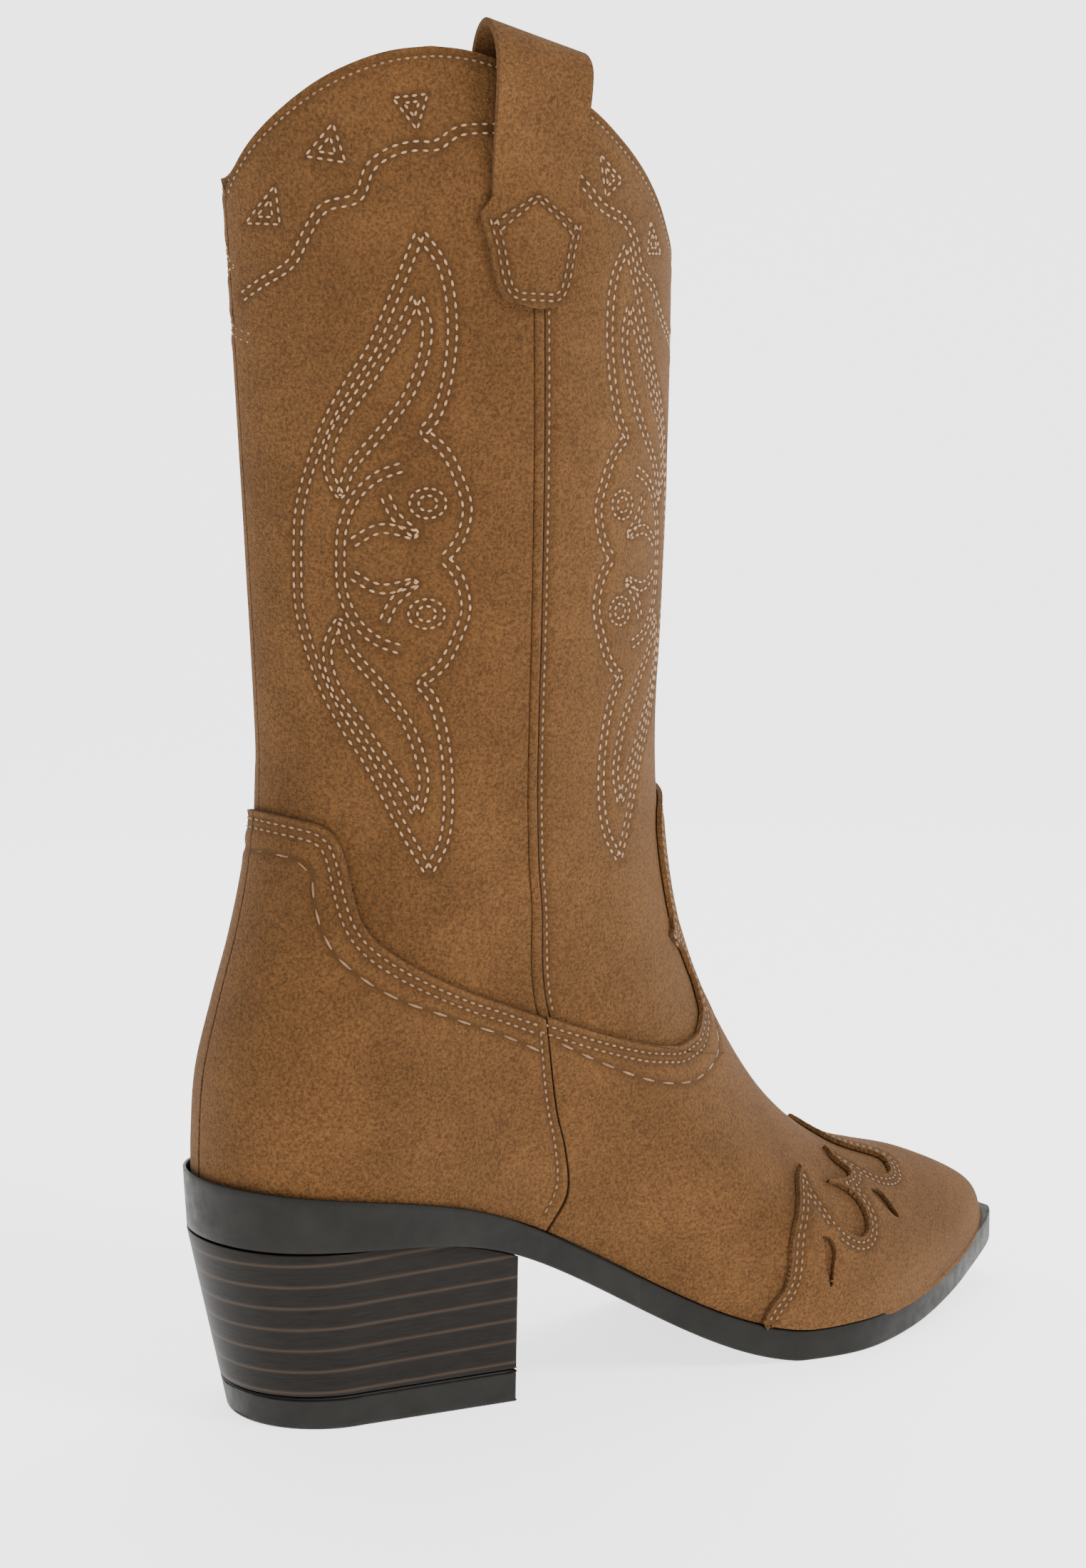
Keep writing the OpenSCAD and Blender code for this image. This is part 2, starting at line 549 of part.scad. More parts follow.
// Pull straps, drawn for y above 0 and mirrored for the outer side. Each is one folded strap: a tab sewn
// outside, a loop over the topline and a tail sewn inside. The loop swings on a line through the middle of
// the shaft's wall. Side is 1 for the inner strap and -1 for the outer one.
strap_x = (mouth_front + mouth_back) / 2 - 1;
hinge_drop = 5.5;
function hinge_z(side) = shaft_height - hinge_drop - (side > 0 ? inner_drop : 0);
strap_cut = 6;
knuckle_r = norm([strap_standoff, strap_cut]);
knuckle_gap = 0.4;
shoulder_q = -tab_depth;
tab_foot_q = shoulder_q - tab_drop;
point_h = 4;
// Half width of the tab, as shares of its height and of its width at the shoulders
tab_outline = [[0, 0.2], [0.03, 0.42], [0.1, 0.57], [0.2, 0.68], [0.4, 0.77], [0.64, 0.84], [0.9, 0.96], [1, 1]];
function strap_half(q) =
    q < shoulder_q ? tab_w / 2 * through(tab_outline, (q - tab_foot_q) / tab_drop) :
    q < shoulder_q + point_h ? lerp(tab_w, strap_waist, (q - shoulder_q) / point_h) / 2 :
    lerp(strap_waist, strap_w, ramp(q, shoulder_q + point_h, 0)) / 2;
function wall_y(x, z, side) =
    let (v = ring_at(z), ring = flow(rings, v), s = clamp((ring[0] - x) / (ring[0] - ring[2]), 0, 1))
    ring[6] * (1 - back_ridge * pow(s, 5) - front_ridge * pow(1 - s, 5)) * 2 * sqrt(s * (1 - s))
    * flatness(side, v);
flush = cement + strap_t / 2;
tail_flush = 2 * cement + strap_t / 2;
stand = strap_standoff - shaft_wall / 2;
function pivot_y(side) = wall_y(strap_x, hinge_z(side), side) - shaft_wall / 2;
// Middle of the strap: q is the distance below the hinge line, as a minus, on the leg outside, 0 to 180
// over the loop, and 180 plus the distance below the hinge line on the tail
function strap_middle(q, across, side) =
    q < 0 ? let (z = hinge_z(side) + q, x = strap_x + across * strap_half(q), away = ramp(q, shoulder_q + 4, 0))
        [x, lerp(wall_y(x, z, side), wall_y(strap_x, z, side), away) + lerp(flush, stand, away), z] :
    q <= 180 ? [strap_x + across * strap_w / 2, pivot_y(side) + strap_standoff * cos(q),
        hinge_z(side) + (loop_rise - strap_t / 2) * sin(q)] :
    let (z = hinge_z(side) + 180 - q, x = strap_x + across * strap_w / 2, away = ramp(q, 180 + 22, 180),
        bend = away * away)
        [x, lerp(wall_y(x, z, side), wall_y(strap_x, z, side), bend) - shaft_wall
            - lerp(tail_flush, stand, away), z];
function strap_point(q, across, out, side) =
    let (way = strap_middle(q + 0.5, across, side) - strap_middle(q - 0.5, across, side))
    strap_middle(q, across, side) + out * unit([0, way.z, -way.y]);
module strap_piece(along, side)
    sheet([for (q = along) [for (across = steps(1, -1, 6)) strap_point(q, across, strap_t / 2, side)]],
        [for (q = along) [for (across = steps(1, -1, 6)) strap_point(q, across, -strap_t / 2, side)]]);
module knuckle(gap, side)
    translate([strap_x - strap_w, pivot_y(side), hinge_z(side)])
    rotate([0, 90, 0])
    cylinder(r = knuckle_r + gap, h = 2 * strap_w, $fn = 48);
tab_rows = concat([for (t = tab_outline) tab_foot_q + t[0] * tab_drop],
    steps(shoulder_q + point_h, -strap_cut + 2, 6));
module strap_tab(side) color(suede)
    difference() {
        strap_piece(tab_rows, side);
        knuckle(knuckle_gap, side);
    }
module strap_tail(side) color(suede)
    difference() {
        strap_piece(steps(180 + strap_cut - 2, 180 + tail_l, 8), side);
        knuckle(knuckle_gap, side);
    }
loop_rows = concat([-strap_cut - 3, -4, -1.5], steps(0, 180, 14), [181.5, 184, 180 + strap_cut + 3]);
module strap_loop(side) color(suede)
    intersection() {
        strap_piece(loop_rows, side);
        union() {
            knuckle(0, side);
            translate([strap_x - strap_w, pivot_y(side) - strap_w, hinge_z(side)]) cube(2 * strap_w);
        }
    }
module outer_side() mirror([0, 1, 0]) children();
module strap_tab_inner() strap_tab(1);
module strap_tail_inner() strap_tail(1);
module strap_loop_inner() strap_loop(1);
module strap_tab_outer() outer_side() strap_tab(-1);
module strap_tail_outer() outer_side() strap_tail(-1);
module strap_loop_outer() outer_side() strap_loop(-1);

// The outer strap reaches further than the inner side, so the whole boot is moved to centre its width
outer_reach = pivot_y(-1) + strap_standoff + strap_t / 2;
inner_reach = max([for (v = foot_heights, u = [40:10:140]) layer(u, v, cap_high).y]);
middle_shift = (outer_reach - inner_reach) / 2;
module placed() translate([0, middle_shift, 0]) children();

placed() vamp();
placed() toe_cap();
placed() counter_outer();
placed() counter_inner();
placed() shaft_front();
placed() shaft_back_outer();
placed() shaft_back_inner();
placed() side_welt_outer();
placed() side_welt_inner();
placed() shaft_lining_front();
placed() shaft_lining_back();
placed() vamp_lining();
placed() heel_lining();
placed() toe_puff();
placed() heel_stiffener();
placed() strap_tab_outer();
placed() strap_tab_inner();
placed() strap_tail_outer();
placed() strap_tail_inner();
placed() strap_loop_outer();
placed() strap_loop_inner();
placed() insole_board();
placed() heel_pad();
placed() sock_liner();
placed() sole_filler();
placed() shank();
placed() outsole();
placed() heel_block();
placed() top_lift();
placed() heel_screw();
placed() heel_nails();
placed() top_lift_nails();
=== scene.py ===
import math

import bmesh
import bpy
import numpy as np
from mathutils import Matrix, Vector, kdtree


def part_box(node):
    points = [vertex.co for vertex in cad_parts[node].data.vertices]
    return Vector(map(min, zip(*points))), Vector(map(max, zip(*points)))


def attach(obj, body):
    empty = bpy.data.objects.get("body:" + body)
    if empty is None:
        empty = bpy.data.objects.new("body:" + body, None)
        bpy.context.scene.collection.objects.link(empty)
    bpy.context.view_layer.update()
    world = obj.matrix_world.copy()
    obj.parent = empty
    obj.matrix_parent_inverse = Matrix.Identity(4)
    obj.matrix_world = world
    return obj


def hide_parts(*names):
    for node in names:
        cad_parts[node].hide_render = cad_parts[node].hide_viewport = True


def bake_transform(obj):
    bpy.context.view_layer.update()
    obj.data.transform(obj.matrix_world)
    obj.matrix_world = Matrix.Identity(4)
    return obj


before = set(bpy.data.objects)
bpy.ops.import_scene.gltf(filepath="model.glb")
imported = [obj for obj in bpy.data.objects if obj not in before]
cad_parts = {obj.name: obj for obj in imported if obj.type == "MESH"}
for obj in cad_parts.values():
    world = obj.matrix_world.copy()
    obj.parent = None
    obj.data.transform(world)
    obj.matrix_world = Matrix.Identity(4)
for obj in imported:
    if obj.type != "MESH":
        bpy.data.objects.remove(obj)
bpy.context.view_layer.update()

# Camera, set a little behind the outer side of the boot at mid-shaft height, looking slightly down.
camera = bpy.data.objects.new("camera", bpy.data.cameras.new("camera"))
camera.data.lens = 56.8
camera.data.clip_start = 0.05
camera.location = (-0.392, -0.6133, 0.242)
LOOK_DOWN, LOOK_ROUND = 5.64, -30.25
camera.rotation_euler = (math.radians(90 - LOOK_DOWN), 0, math.radians(LOOK_ROUND))
bpy.context.scene.collection.objects.link(camera)
bpy.context.scene.camera = camera

# Plain pale paper floor that curves up into a backdrop and glows as if lit from below, with a soft light on
# the camera's right, a weak wide one on its left and one from above.
SWEEP_START, SWEEP_CURVE, PAPER_TURN = 1.2, 1.1, math.radians(-30)


def link_smooth(name, data):
    piece = bpy.data.objects.new(name, data)
    data.polygons.foreach_set("use_smooth", [True] * len(data.polygons))
    bpy.context.scene.collection.objects.link(piece)
    return piece


def finished(name, mesh):
    data = bpy.data.meshes.new(name)
    mesh.to_mesh(data)
    mesh.free()
    return link_smooth(name, data)


paper = bpy.data.materials.new("studio_paper")
paper.use_nodes = True
paper_shader = paper.node_tree.nodes["Principled BSDF"]
paper_shader.inputs["Base Color"].default_value = (0.86, 0.86, 0.86, 1)
paper_shader.inputs["Roughness"].default_value = 0.9
paper_shader.inputs["Emission Color"].default_value = (1, 1, 1, 1)
paper_shader.inputs["Emission Strength"].default_value = 2.0
paper_shader.inputs["Specular IOR Level"].default_value = 0.1
mesh = bmesh.new()
bmesh.ops.create_grid(mesh, x_segments=2, y_segments=60, size=4)
for corner in mesh.verts:
    corner.co.z = SWEEP_CURVE * max(corner.co.y - SWEEP_START, 0)**2
floor = finished("studio_floor", mesh)
floor.data.materials.append(paper)
floor.rotation_euler.z = PAPER_TURN

world = bpy.data.worlds.new("studio")
world.use_nodes = True
world.node_tree.nodes["Background"].inputs["Color"].default_value = (1, 1, 1, 1)
world.node_tree.nodes["Background"].inputs["Strength"].default_value = 0.75
bpy.context.scene.world = world


def soft_light(name, place, aim, size, watts):
    light = bpy.data.objects.new(name, bpy.data.lights.new(name, "AREA"))
    light.data.size = size
    light.data.energy = watts
    light.location = place
    light.rotation_euler = (Vector(aim) - Vector(place)).to_track_quat("-Z", "Y").to_euler()
    bpy.context.scene.collection.objects.link(light)


soft_light("key", (0.55, -1.25, 1.35), (0, 0, 0.18), 0.6, 26)
soft_light("fill", (-1.3, -0.7, 0.7), (0, 0, 0.15), 1.2, 3)
soft_light("top", (0.3, 0.5, 1.6), (0, 0, 0.1), 0.9, 8)

# Shaft: front panel and two back panels of tan suede, cut flat, embroidered, then sewn at the side seams and
# down the back. Their raw top edges form the topline, which peaks at the sides and dips front and back.
CAD_MM = 0.001
SOLE_LENGTH = 282
HEEL_HEIGHT = 62
SHAFT_HEIGHT = 368
BALL_WIDTH = 83
MOUTH_DEPTH, MOUTH_WIDTH = 137, 104
THROAT_DEPTH, THROAT_WIDTH = 123, 93
THROAT_BACK = 21 - SOLE_LENGTH / 2
MOUTH_BACK = 11 - SOLE_LENGTH / 2
THROAT_Z = HEEL_HEIGHT + 128
FRONT_DIP, BACK_DIP, INNER_DROP = 51, 34, 11
SUEDE, LINING, CEMENT, SEAM_GAP, WELT_HALF, LAP, CUT_EDGE = 1.4, 0.9, 0.3, 0.3, 1, 9, 0.3
SOLE_EDGE, SOLE_LEDGE, TOE_LEDGE = 9.5, 2.8, 5.5
TOE_X = SOLE_LENGTH / 2 - TOE_LEDGE
HEEL_X = SOLE_LEDGE - SOLE_LENGTH / 2
HEEL_LENGTH, SEAT_FALL, TOE_SPRING = 84, 10, 12.5
# How far the toe turns in, how sharp the front and back of the shaft are, how flat its inner side is
TOE_INSET, FRONT_RIDGE, BACK_RIDGE, INNER_FLATTENING = 5, 0.12, 0.33, 0.34
FOOT_RINGS = 8
# The top-lift is even on both sides of the boot's middle plane
MIDDLE_Y = sum(corner.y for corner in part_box("top_lift")) / 2 / CAD_MM


def ease(x, start, end):
    t = np.clip((np.asarray(x, float) - start) / (end - start), 0, 1)
    return t * t * (3 - 2 * t)


def mix(a, b, t):
    return a + (b - a) * t


def through_slopes(place, value, slope, x):
    """Smooth curve through values at places, with a slope set at each."""
    x = np.clip(x, place[0], place[-1])
    i = np.clip(np.searchsorted(place, x) - 1, 0, len(place) - 2)
    width = place[i + 1] - place[i]
    t = (x - place[i]) / width
    return (value[i] * (2 * t**3 - 3 * t**2 + 1) + width * slope[i] * (t**3 - 2 * t**2 + t)
            + value[i + 1] * (3 * t**2 - 2 * t**3) + width * slope[i + 1] * (t**3 - t**2))


def curve_through(table, x):
    """Smooth curve through rows of (place, value)."""
    place, value = np.array(table, float).T
    slope = np.empty(len(place))
    slope[1:-1] = (value[2:] - value[:-2]) / (place[2:] - place[:-2])
    slope[0] = (value[1] - value[0]) / (place[1] - place[0])
    slope[-1] = (value[-1] - value[-2]) / (place[-1] - place[-2])
    return through_slopes(place, value, slope, x)


def flow(rows, v):
    """Smooth curve through rows of numbers, one row for each whole step of v."""
    rows = np.asarray(rows, float)
    rows = np.concatenate([[2 * rows[0] - rows[1]], rows, [2 * rows[-1] - rows[-2]]])
    v = np.asarray(v, float)
    i = np.clip(np.floor(v).astype(int), 0, len(rows) - 4)
    t = (v - i)[..., None]
    a, b, c, d = rows[i], rows[i + 1], rows[i + 2], rows[i + 3]
    return 0.5 * (2 * b + (c - a) * t + (2 * a - 5 * b + 4 * c - d) * t**2 + (3 * b - a - 3 * c + d) * t**3)


# Top of the sole: place along the boot, height and slope
TREAD = [(-SOLE_LENGTH / 2, HEEL_HEIGHT, -0.11),
         (HEEL_LENGTH - SOLE_LENGTH / 2, HEEL_HEIGHT - SEAT_FALL, -0.42),
         (0.11 * SOLE_LENGTH, SOLE_EDGE + 0.2, -0.16), (0.18 * SOLE_LENGTH, SOLE_EDGE, 0),
         (SOLE_LENGTH / 2, SOLE_EDGE + TOE_SPRING, 0.22)]


def sole_top(x):
    return through_slopes(*np.array(TREAD, float).T, x)


# Half widths of the last on each side, by share of the way from toe to heel
OUTER_OUTLINE = [(0, 0.72), (0.057, 0.92), (0.135, 1.07), (0.213, 1.17), (0.309, 1.19), (0.42, 1.0),
                 (0.549, 0.82), (0.697, 0.83), (0.889, 1.2), (1, 1.54)]
INNER_OUTLINE = [(0, 0.70), (0.057, 0.89), (0.135, 0.99), (0.213, 1.02), (0.309, 0.97), (0.42, 0.77),
                 (0.549, 0.66), (0.697, 0.80), (0.889, 1.2), (1, 1.54)]
FRONT_CURVE = [(1, 0), (0.955, 0.058), (0.765, 0.128), (0.518, 0.185), (0.312, 0.303), (0.148, 0.482),
               (0.055, 0.647), (0.012, 0.824), (0, 1)]
BACK_CURVE = [(0.04, 0), (0.05, 0.13), (0.13, 0.273), (0.39, 0.422), (0.66, 0.555), (0.86, 0.68),
              (0.97, 0.79), (1, 0.90), (1, 1)]
# Outline's width, how round, share of the throat's width and toe shift of each ring round the foot
FOOT_SECTIONS = [(1, 0, 0.86, 1), (1.03, 0.08, 0.86, 1), (1.02, 0.25, 0.86, 0.9), (0.96, 0.5, 0.86, 0.6),
                 (0.92, 0.72, 0.86, 0.3), (0.9, 0.88, 0.87, 0.1), (0.9, 0.97, 0.9, 0),
                 (0.9, 1, 0.957, 0), (0.9, 1, 1, 0)]


def foot_ring(front, back, section):
    return (mix(THROAT_BACK + THROAT_DEPTH, TOE_X, front[0]), mix(sole_top(TOE_X), THROAT_Z, front[1]),
            mix(HEEL_X, THROAT_BACK, back[0]), mix(sole_top(HEEL_X), THROAT_Z, back[1]),
            section[0], section[1], section[2] * THROAT_WIDTH / 2, section[3] * TOE_INSET)


def shaft_ring(up):
    opening = math.sin(math.radians(90 * min(1.25 * up, 1)))
    z = mix(THROAT_Z, SHAFT_HEIGHT, up)
    return (mix(THROAT_BACK + THROAT_DEPTH, MOUTH_BACK + MOUTH_DEPTH, opening), z,
            mix(THROAT_BACK, MOUTH_BACK, up**1.1), z, 0.9, 1, mix(THROAT_WIDTH, MOUTH_WIDTH, opening) / 2, 0)


RINGS = ([foot_ring(*three) for three in zip(FRONT_CURVE, BACK_CURVE, FOOT_SECTIONS)]
         + [shaft_ring(up) for up in (0.225, 0.4775, 0.73, 1, 1.27)])


def skin(u, v):
    """The outside of the shaft's suede and of the last. u goes round in degrees from the toe by the inner
    side and v counts rings from the sole to the top."""
    u, v = np.broadcast_arrays(np.asarray(u, float), np.asarray(v, float))
    v = np.maximum(v, 0)
    ring = np.moveaxis(flow(RINGS, v), -1, 0)
    share = (1 - np.cos(np.radians(u))) / 2
    side = np.sin(np.radians(u))
    outline = np.where(side >= 0, curve_through(INNER_OUTLINE, share), curve_through(OUTER_OUTLINE, share))
    ridge = 1 - (BACK_RIDGE * share**5 + FRONT_RIDGE * (1 - share)**5) * ease(v, 3, FOOT_RINGS)
    flatness = np.where(side > 0, 1 - INNER_FLATTENING * ease(v, 4.5, 12.5), 1)
    half = mix(ring[4] * outline * BALL_WIDTH / 2, ring[6] * ridge, ring[5]) * flatness
    sag = sole_top(mix(TOE_X, HEEL_X, share)) - mix(sole_top(TOE_X), sole_top(HEEL_X), share)
    return np.stack([mix(ring[0], ring[2], share), ring[7] * (1 - share)**2 + half * side,
                     mix(ring[1], ring[3], share) + (1 - ring[5]) * sag], -1)


def facing(u, v):
    u, v = np.asarray(u, float), np.asarray(v, float)
    out = np.cross(skin(u + 1, v) - skin(u - 1, v), skin(u, v + 0.03) - skin(u, np.maximum(v - 0.03, 0)))
    out[..., 2] *= np.clip(v, 0, 1)
    return out / np.linalg.norm(out, axis=-1, keepdims=True)


def layer(u, v, out):
    """A point at a distance out from the skin; nothing sinks into the cement on the sole."""
    point = skin(u, v) + np.asarray(out, float)[..., None] * facing(u, v)
    point[..., 2] = np.maximum(point[..., 2], sole_top(point[..., 0]) + CEMENT)
    return point


def round_u(u):
    around = np.mod(u, 360)
    return np.where(around > 180, 360 - around, around)


TOPLINE_FRONT = [(0, 1), (20, 0.93), (36, 0.8), (46, 0.65), (56, 0.5), (66, 0.365), (75, 0.25), (90, 0.11),
                 (104, 0.02), (113, 0)]
TOPLINE_BACK = [(113, 0), (122, 0.035), (130, 0.11), (139, 0.23), (151, 0.44), (165, 0.7), (180, 1)]
ring_numbers = np.linspace(7, 13, 601)
ring_heights = flow(RINGS, ring_numbers)[:, 1]


def ring_at(z):
    return np.interp(z, ring_heights, ring_numbers)


def topline_z(u):
    u = np.asarray(u, float)
    around = round_u(u)
    dip = np.where(around < 113, FRONT_DIP * curve_through(TOPLINE_FRONT, around),
                   BACK_DIP * curve_through(TOPLINE_BACK, around))
    return SHAFT_HEIGHT - INNER_DROP * ease(np.sin(np.radians(u)), 0, 0.5) - dip


SEAM_FOOT_U, SEAM_LAP_U, SEAM_SHAFT_U, LAP_V = 110, 95, 91, 4.37
SEAM_HALF_U = (WELT_HALF + SEAM_GAP) / THROAT_WIDTH * 360 / math.pi
EDGE_HALF_U = SEAM_GAP / BALL_WIDTH * 180 / math.pi
LAP_RINGS = LAP * FOOT_RINGS / (THROAT_Z - HEEL_HEIGHT)


def seam_u(v):
    return np.where(v < LAP_V, mix(SEAM_FOOT_U, SEAM_LAP_U, v / LAP_V),
                    mix(SEAM_LAP_U, SEAM_SHAFT_U, ease(v, LAP_V, 6)))


FRONT_HEM = [(0, 6.1), (14, 5.9), (24, 5.4), (32, 4.95), (40, 4.7), (50, 4.55), (62, 4.45), (95, 4.4)]
BACK_HEM = [(91, 4.4), (112, 4.25), (128, 4.41), (134, 4.5), (140, 4.9), (146, 5.7), (152, 6.2), (180, 6.36)]


def front_hem_v(u):
    return curve_through(FRONT_HEM, np.minimum(round_u(u), SEAM_LAP_U)) - LAP_RINGS


def back_hem_v(u):
    return curve_through(BACK_HEM, np.maximum(round_u(u), SEAM_SHAFT_U)) - LAP_RINGS


def front_panel(s, t):
    share = 2 * s - 1
    edge_u = share * (SEAM_SHAFT_U - SEAM_HALF_U)
    v = mix(front_hem_v(edge_u), ring_at(topline_z(edge_u)), t)
    return share * (seam_u(v) - SEAM_HALF_U), v


def back_panel(side):
    def place(s, t):
        back = s if side > 0 else 1 - s
        edge_u = mix(SEAM_SHAFT_U, 180, back)
        v = mix(back_hem_v(edge_u), ring_at(topline_z(side * edge_u)), t)
        return side * mix(seam_u(v) + SEAM_HALF_U, 180 - 2 * EDGE_HALF_U, back), v
    return place


def to_frame(points):
    """Millimetres about the shaft's middle plane to metres in the shared frame."""
    return (np.asarray(points) + (0, MIDDLE_Y, 0)) * CAD_MM


def beside(places, distance):
    """A line of (u, v) places moved sideways over the skin, to its left when seen from outside."""
    u, v = places[:, 0], places[:, 1]
    across_u = (skin(u + 0.5, v) - skin(u - 0.5, v))
    across_v = (skin(u, v + 0.02) - skin(u, v - 0.02)) / 0.04
    run = np.gradient(skin(u, v), axis=0)
    run /= np.linalg.norm(run, axis=1, keepdims=True)
    away = np.cross(facing(u, v), run) * distance
    uu, vv, uv = (across_u**2).sum(1), (across_v**2).sum(1), (across_u * across_v).sum(1)
    au, av = (away * across_u).sum(1), (away * across_v).sum(1)
    size = uu * vv - uv**2
    return np.stack([u + (au * vv - av * uv) / size, v + (av * uu - au * uv) / size], 1)


def lengths_along(points):
    return np.concatenate([[0], np.cumsum(np.linalg.norm(np.diff(points, axis=0), axis=1))])


def cut_up(line, length, count):
    """The same line with points at even distances, its corners being at the lengths given."""
    at = np.linspace(0, length[-1], count)
    return np.stack([np.interp(at, length, part) for part in line.T], 1)


def evenly(places, step):
    """The same line of (u, v) places, with points about a step apart on the skin."""
    length = lengths_along(skin(*places.T))
    return cut_up(places, length, max(int(round(length[-1] / step)), 2) + 1)


def smooth_line(points, per_span=12):
    """Smooth curve through given points; a point given twice stays a sharp corner."""
    runs, run = [], [points[0]]
    for before, after in zip(points, points[1:]):
        if before == after:
            runs.append(run)
            run = [after]
        else:
            run.append(after)
    runs.append(run)
    return np.concatenate([flow(run, np.linspace(0, len(run) - 1, (len(run) - 1) * per_span + 1))
                           for run in runs if len(run) > 1])


# Every row of stitches on a layer is kept as (line of places, pitch), so that the suede puckers along it
stitch_rows = {}


def sew(layer_name, places, pitch):
    stitch_rows.setdefault(layer_name, []).append((places, pitch))


def sew_twice(layer_name, places, pitch, apart=2.3):
    sew(layer_name, beside(places, apart / 2), pitch)
    sew(layer_name, beside(places, -apart / 2), pitch)


# Flat coordinates of the embroidery: distance round the shaft from the side seam, and height
CHART_STEP = 0.05
chart_u, chart_v = np.meshgrid(np.arange(0, 181, 1.0), 6 + CHART_STEP * np.arange(129))


def chart_of(side):
    points = skin(side * chart_u, chart_v)
    steps = np.linalg.norm(np.diff(points, axis=1), axis=2)
    run = np.concatenate([np.zeros((len(points), 1)), np.cumsum(steps, axis=1)], axis=1)
    return run[:, SEAM_SHAFT_U:SEAM_SHAFT_U + 1] - run, points[..., 2]


charts = {side: chart_of(side) for side in (1, -1)}


def on_shaft(points, side):
    """(distance towards the front from the side seam, height) to (u, v)."""
    ahead, height = charts[side]
    places = []
    for x, z in points:
        k = np.argmin((ahead - x)**2 + (height - z)**2)
        j, i = np.unravel_index(k, ahead.shape)
        j, i = min(max(j, 1), ahead.shape[0] - 2), min(max(i, 1), ahead.shape[1] - 2)
        jacobian = np.array([[ahead[j, i + 1] - ahead[j, i - 1], ahead[j + 1, i] - ahead[j - 1, i]],
                             [height[j, i + 1] - height[j, i - 1], height[j + 1, i] - height[j - 1, i]]]) / 2
        di, dj = np.linalg.solve(jacobian, (x - ahead[j, i], z - height[j, i]))
        places.append((side * (chart_u[0, i] + di), chart_v[j, 0] + dj * CHART_STEP))
    return np.array(places)


# Leaf pattern about its own middle, x towards the side seam; the lower half mirrors the upper one
LEAF_BACK = [(8, 84), (1, 68), (-5, 55), (-12, 45), (-18, 35), (-23, 23), (-26, 12), (-26.5, 0)]
LEAF_FRONT = [(8, 84), (14, 75), (16, 62), (15, 49), (12, 38), (8, 33), (8, 33), (14, 28), (18, 20), (20, 13),
              (18, 5), (14, 0)]
LEAF_CORE = [(7, 68), (9.5, 60), (8, 51), (4, 42), (-3, 33), (-11, 24), (-14, 16), (-14, 16), (-17.5, 24),
             (-15, 34), (-7, 45), (1, 57), (7, 68)]
LEAF_EYE = [(3, 24), (-4, 21.5), (-10, 16), (-13.5, 8), (-14, 0)]
LEAF_SWOOP = [(-2, 17), (1, 11), (7, 6), (7, 6), (-3, 8), (-11, 4)]
LEAF_RING = (9.5, 14.5, 5.0, 4.0)
YOKE_BACK = [(-84, 306), (-75, 310), (-67, 314), (-62, 322), (-57, 328), (-48, 330), (-45, 337), (-40, 341),
             (-33, 343), (-27, 343), (-21, 347), (-10, 348)]
YOKE_FRONT = [(10, 339), (17, 334), (22, 330), (30, 328), (36, 323), (39, 315), (47, 311), (52, 305),
              (60, 300), (72, 297)]
YOKE_SPOTS = [[(-71, 334), (-81, 325), (-70, 324)], [(-54, 349), (-62, 341), (-51, 339)],
              [(-38, 355), (-29, 356), (-32, 347)], [(21, 344), (30, 338), (23, 333)],
              [(45, 329), (53, 321), (43, 320)]]
LEAF_MIDDLE = (-40, 237)
STITCH, SHORT_STITCH, ROW_STITCH, EDGE_STITCH, SEAM_STITCH, LONG_STITCH = 2.8, 2.1, 2.5, 2.2, 2.4, 7.5


def leaf_part(points, flip, upward):
    return [(flip * (LEAF_MIDDLE[0] + x), LEAF_MIDDLE[1] + upward * z) for x, z in points]


for side in (1, -1):
    lower = -INNER_DROP if side > 0 else 0
    for name, flip in ((f"back_{side}", 1), ("front", -1)):
        for upward in (1, -1):
            for points in (LEAF_BACK, LEAF_FRONT, LEAF_CORE, LEAF_EYE, LEAF_SWOOP):
                sew_twice(name, on_shaft(smooth_line(leaf_part(points, flip, upward)), side), STITCH)
            x, z, wide, tall = LEAF_RING
            for grow in (1, 0.55):
                turn = np.linspace(0, 2 * np.pi, 25)
                ring = [(x + grow * wide * math.cos(a), z + grow * tall * math.sin(a)) for a in turn]
                sew(name, on_shaft(leaf_part(ring, flip, upward), side), SHORT_STITCH)
    for name, line in ((f"back_{side}", YOKE_BACK), ("front", YOKE_FRONT)):
        sew_twice(name, on_shaft([(x, z + lower) for x, z in smooth_line(line)], side), STITCH)
    for spot in YOKE_SPOTS:
        name = f"back_{side}" if spot[0][0] < 0 else "front"
        ring = [(x, z + lower) for x, z in spot + spot[:1]]
        for grow in (1, 0.45):
            centre = np.mean(ring[:3], axis=0)
            corners = [mix(centre, np.array(point), grow) for point in ring]
            for start, end in zip(corners, corners[1:]):
                points = mix(start, end, np.linspace(0, 1, 7)[:, None])
                sew(name, on_shaft(points, side), ROW_STITCH)
    # One fine row under the raw top edge and one in front of the side seam
    round_back = side * np.linspace(93.5, 178, 80)
    round_front = side * np.linspace(88, 0, 80)
    for name, line in ((f"back_{side}", round_back), ("front", round_front)):
        sew(name + "_edge", np.stack([line, ring_at(topline_z(line) - 2.4)], 1), EDGE_STITCH)
    up = np.linspace(4.5, ring_at(topline_z(side * SEAM_SHAFT_U)) - 0.1, 90)
    sew("front_edge", np.stack([side * (seam_u(up) - SEAM_HALF_U - 0.9), up], 1), SEAM_STITCH)


def along_rows(name, step=0.5):
    """Points on the skin along every row of stitches of a layer."""
    lines = [evenly(places, step) for places, pitch in stitch_rows.get(name, [])]
    return skin(*np.concatenate(lines).T) if lines else np.zeros((0, 3))


def tree_of(points):
    tree = kdtree.KDTree(len(points))
    for i, point in enumerate(points):
        tree.insert(point, i)
    tree.balance()
    return tree


def nearest(points, others, far=9.0):
    if not len(others):
        return np.full(len(points), far)
    tree = tree_of(others)
    return np.array([tree.find(point)[2] for point in points])


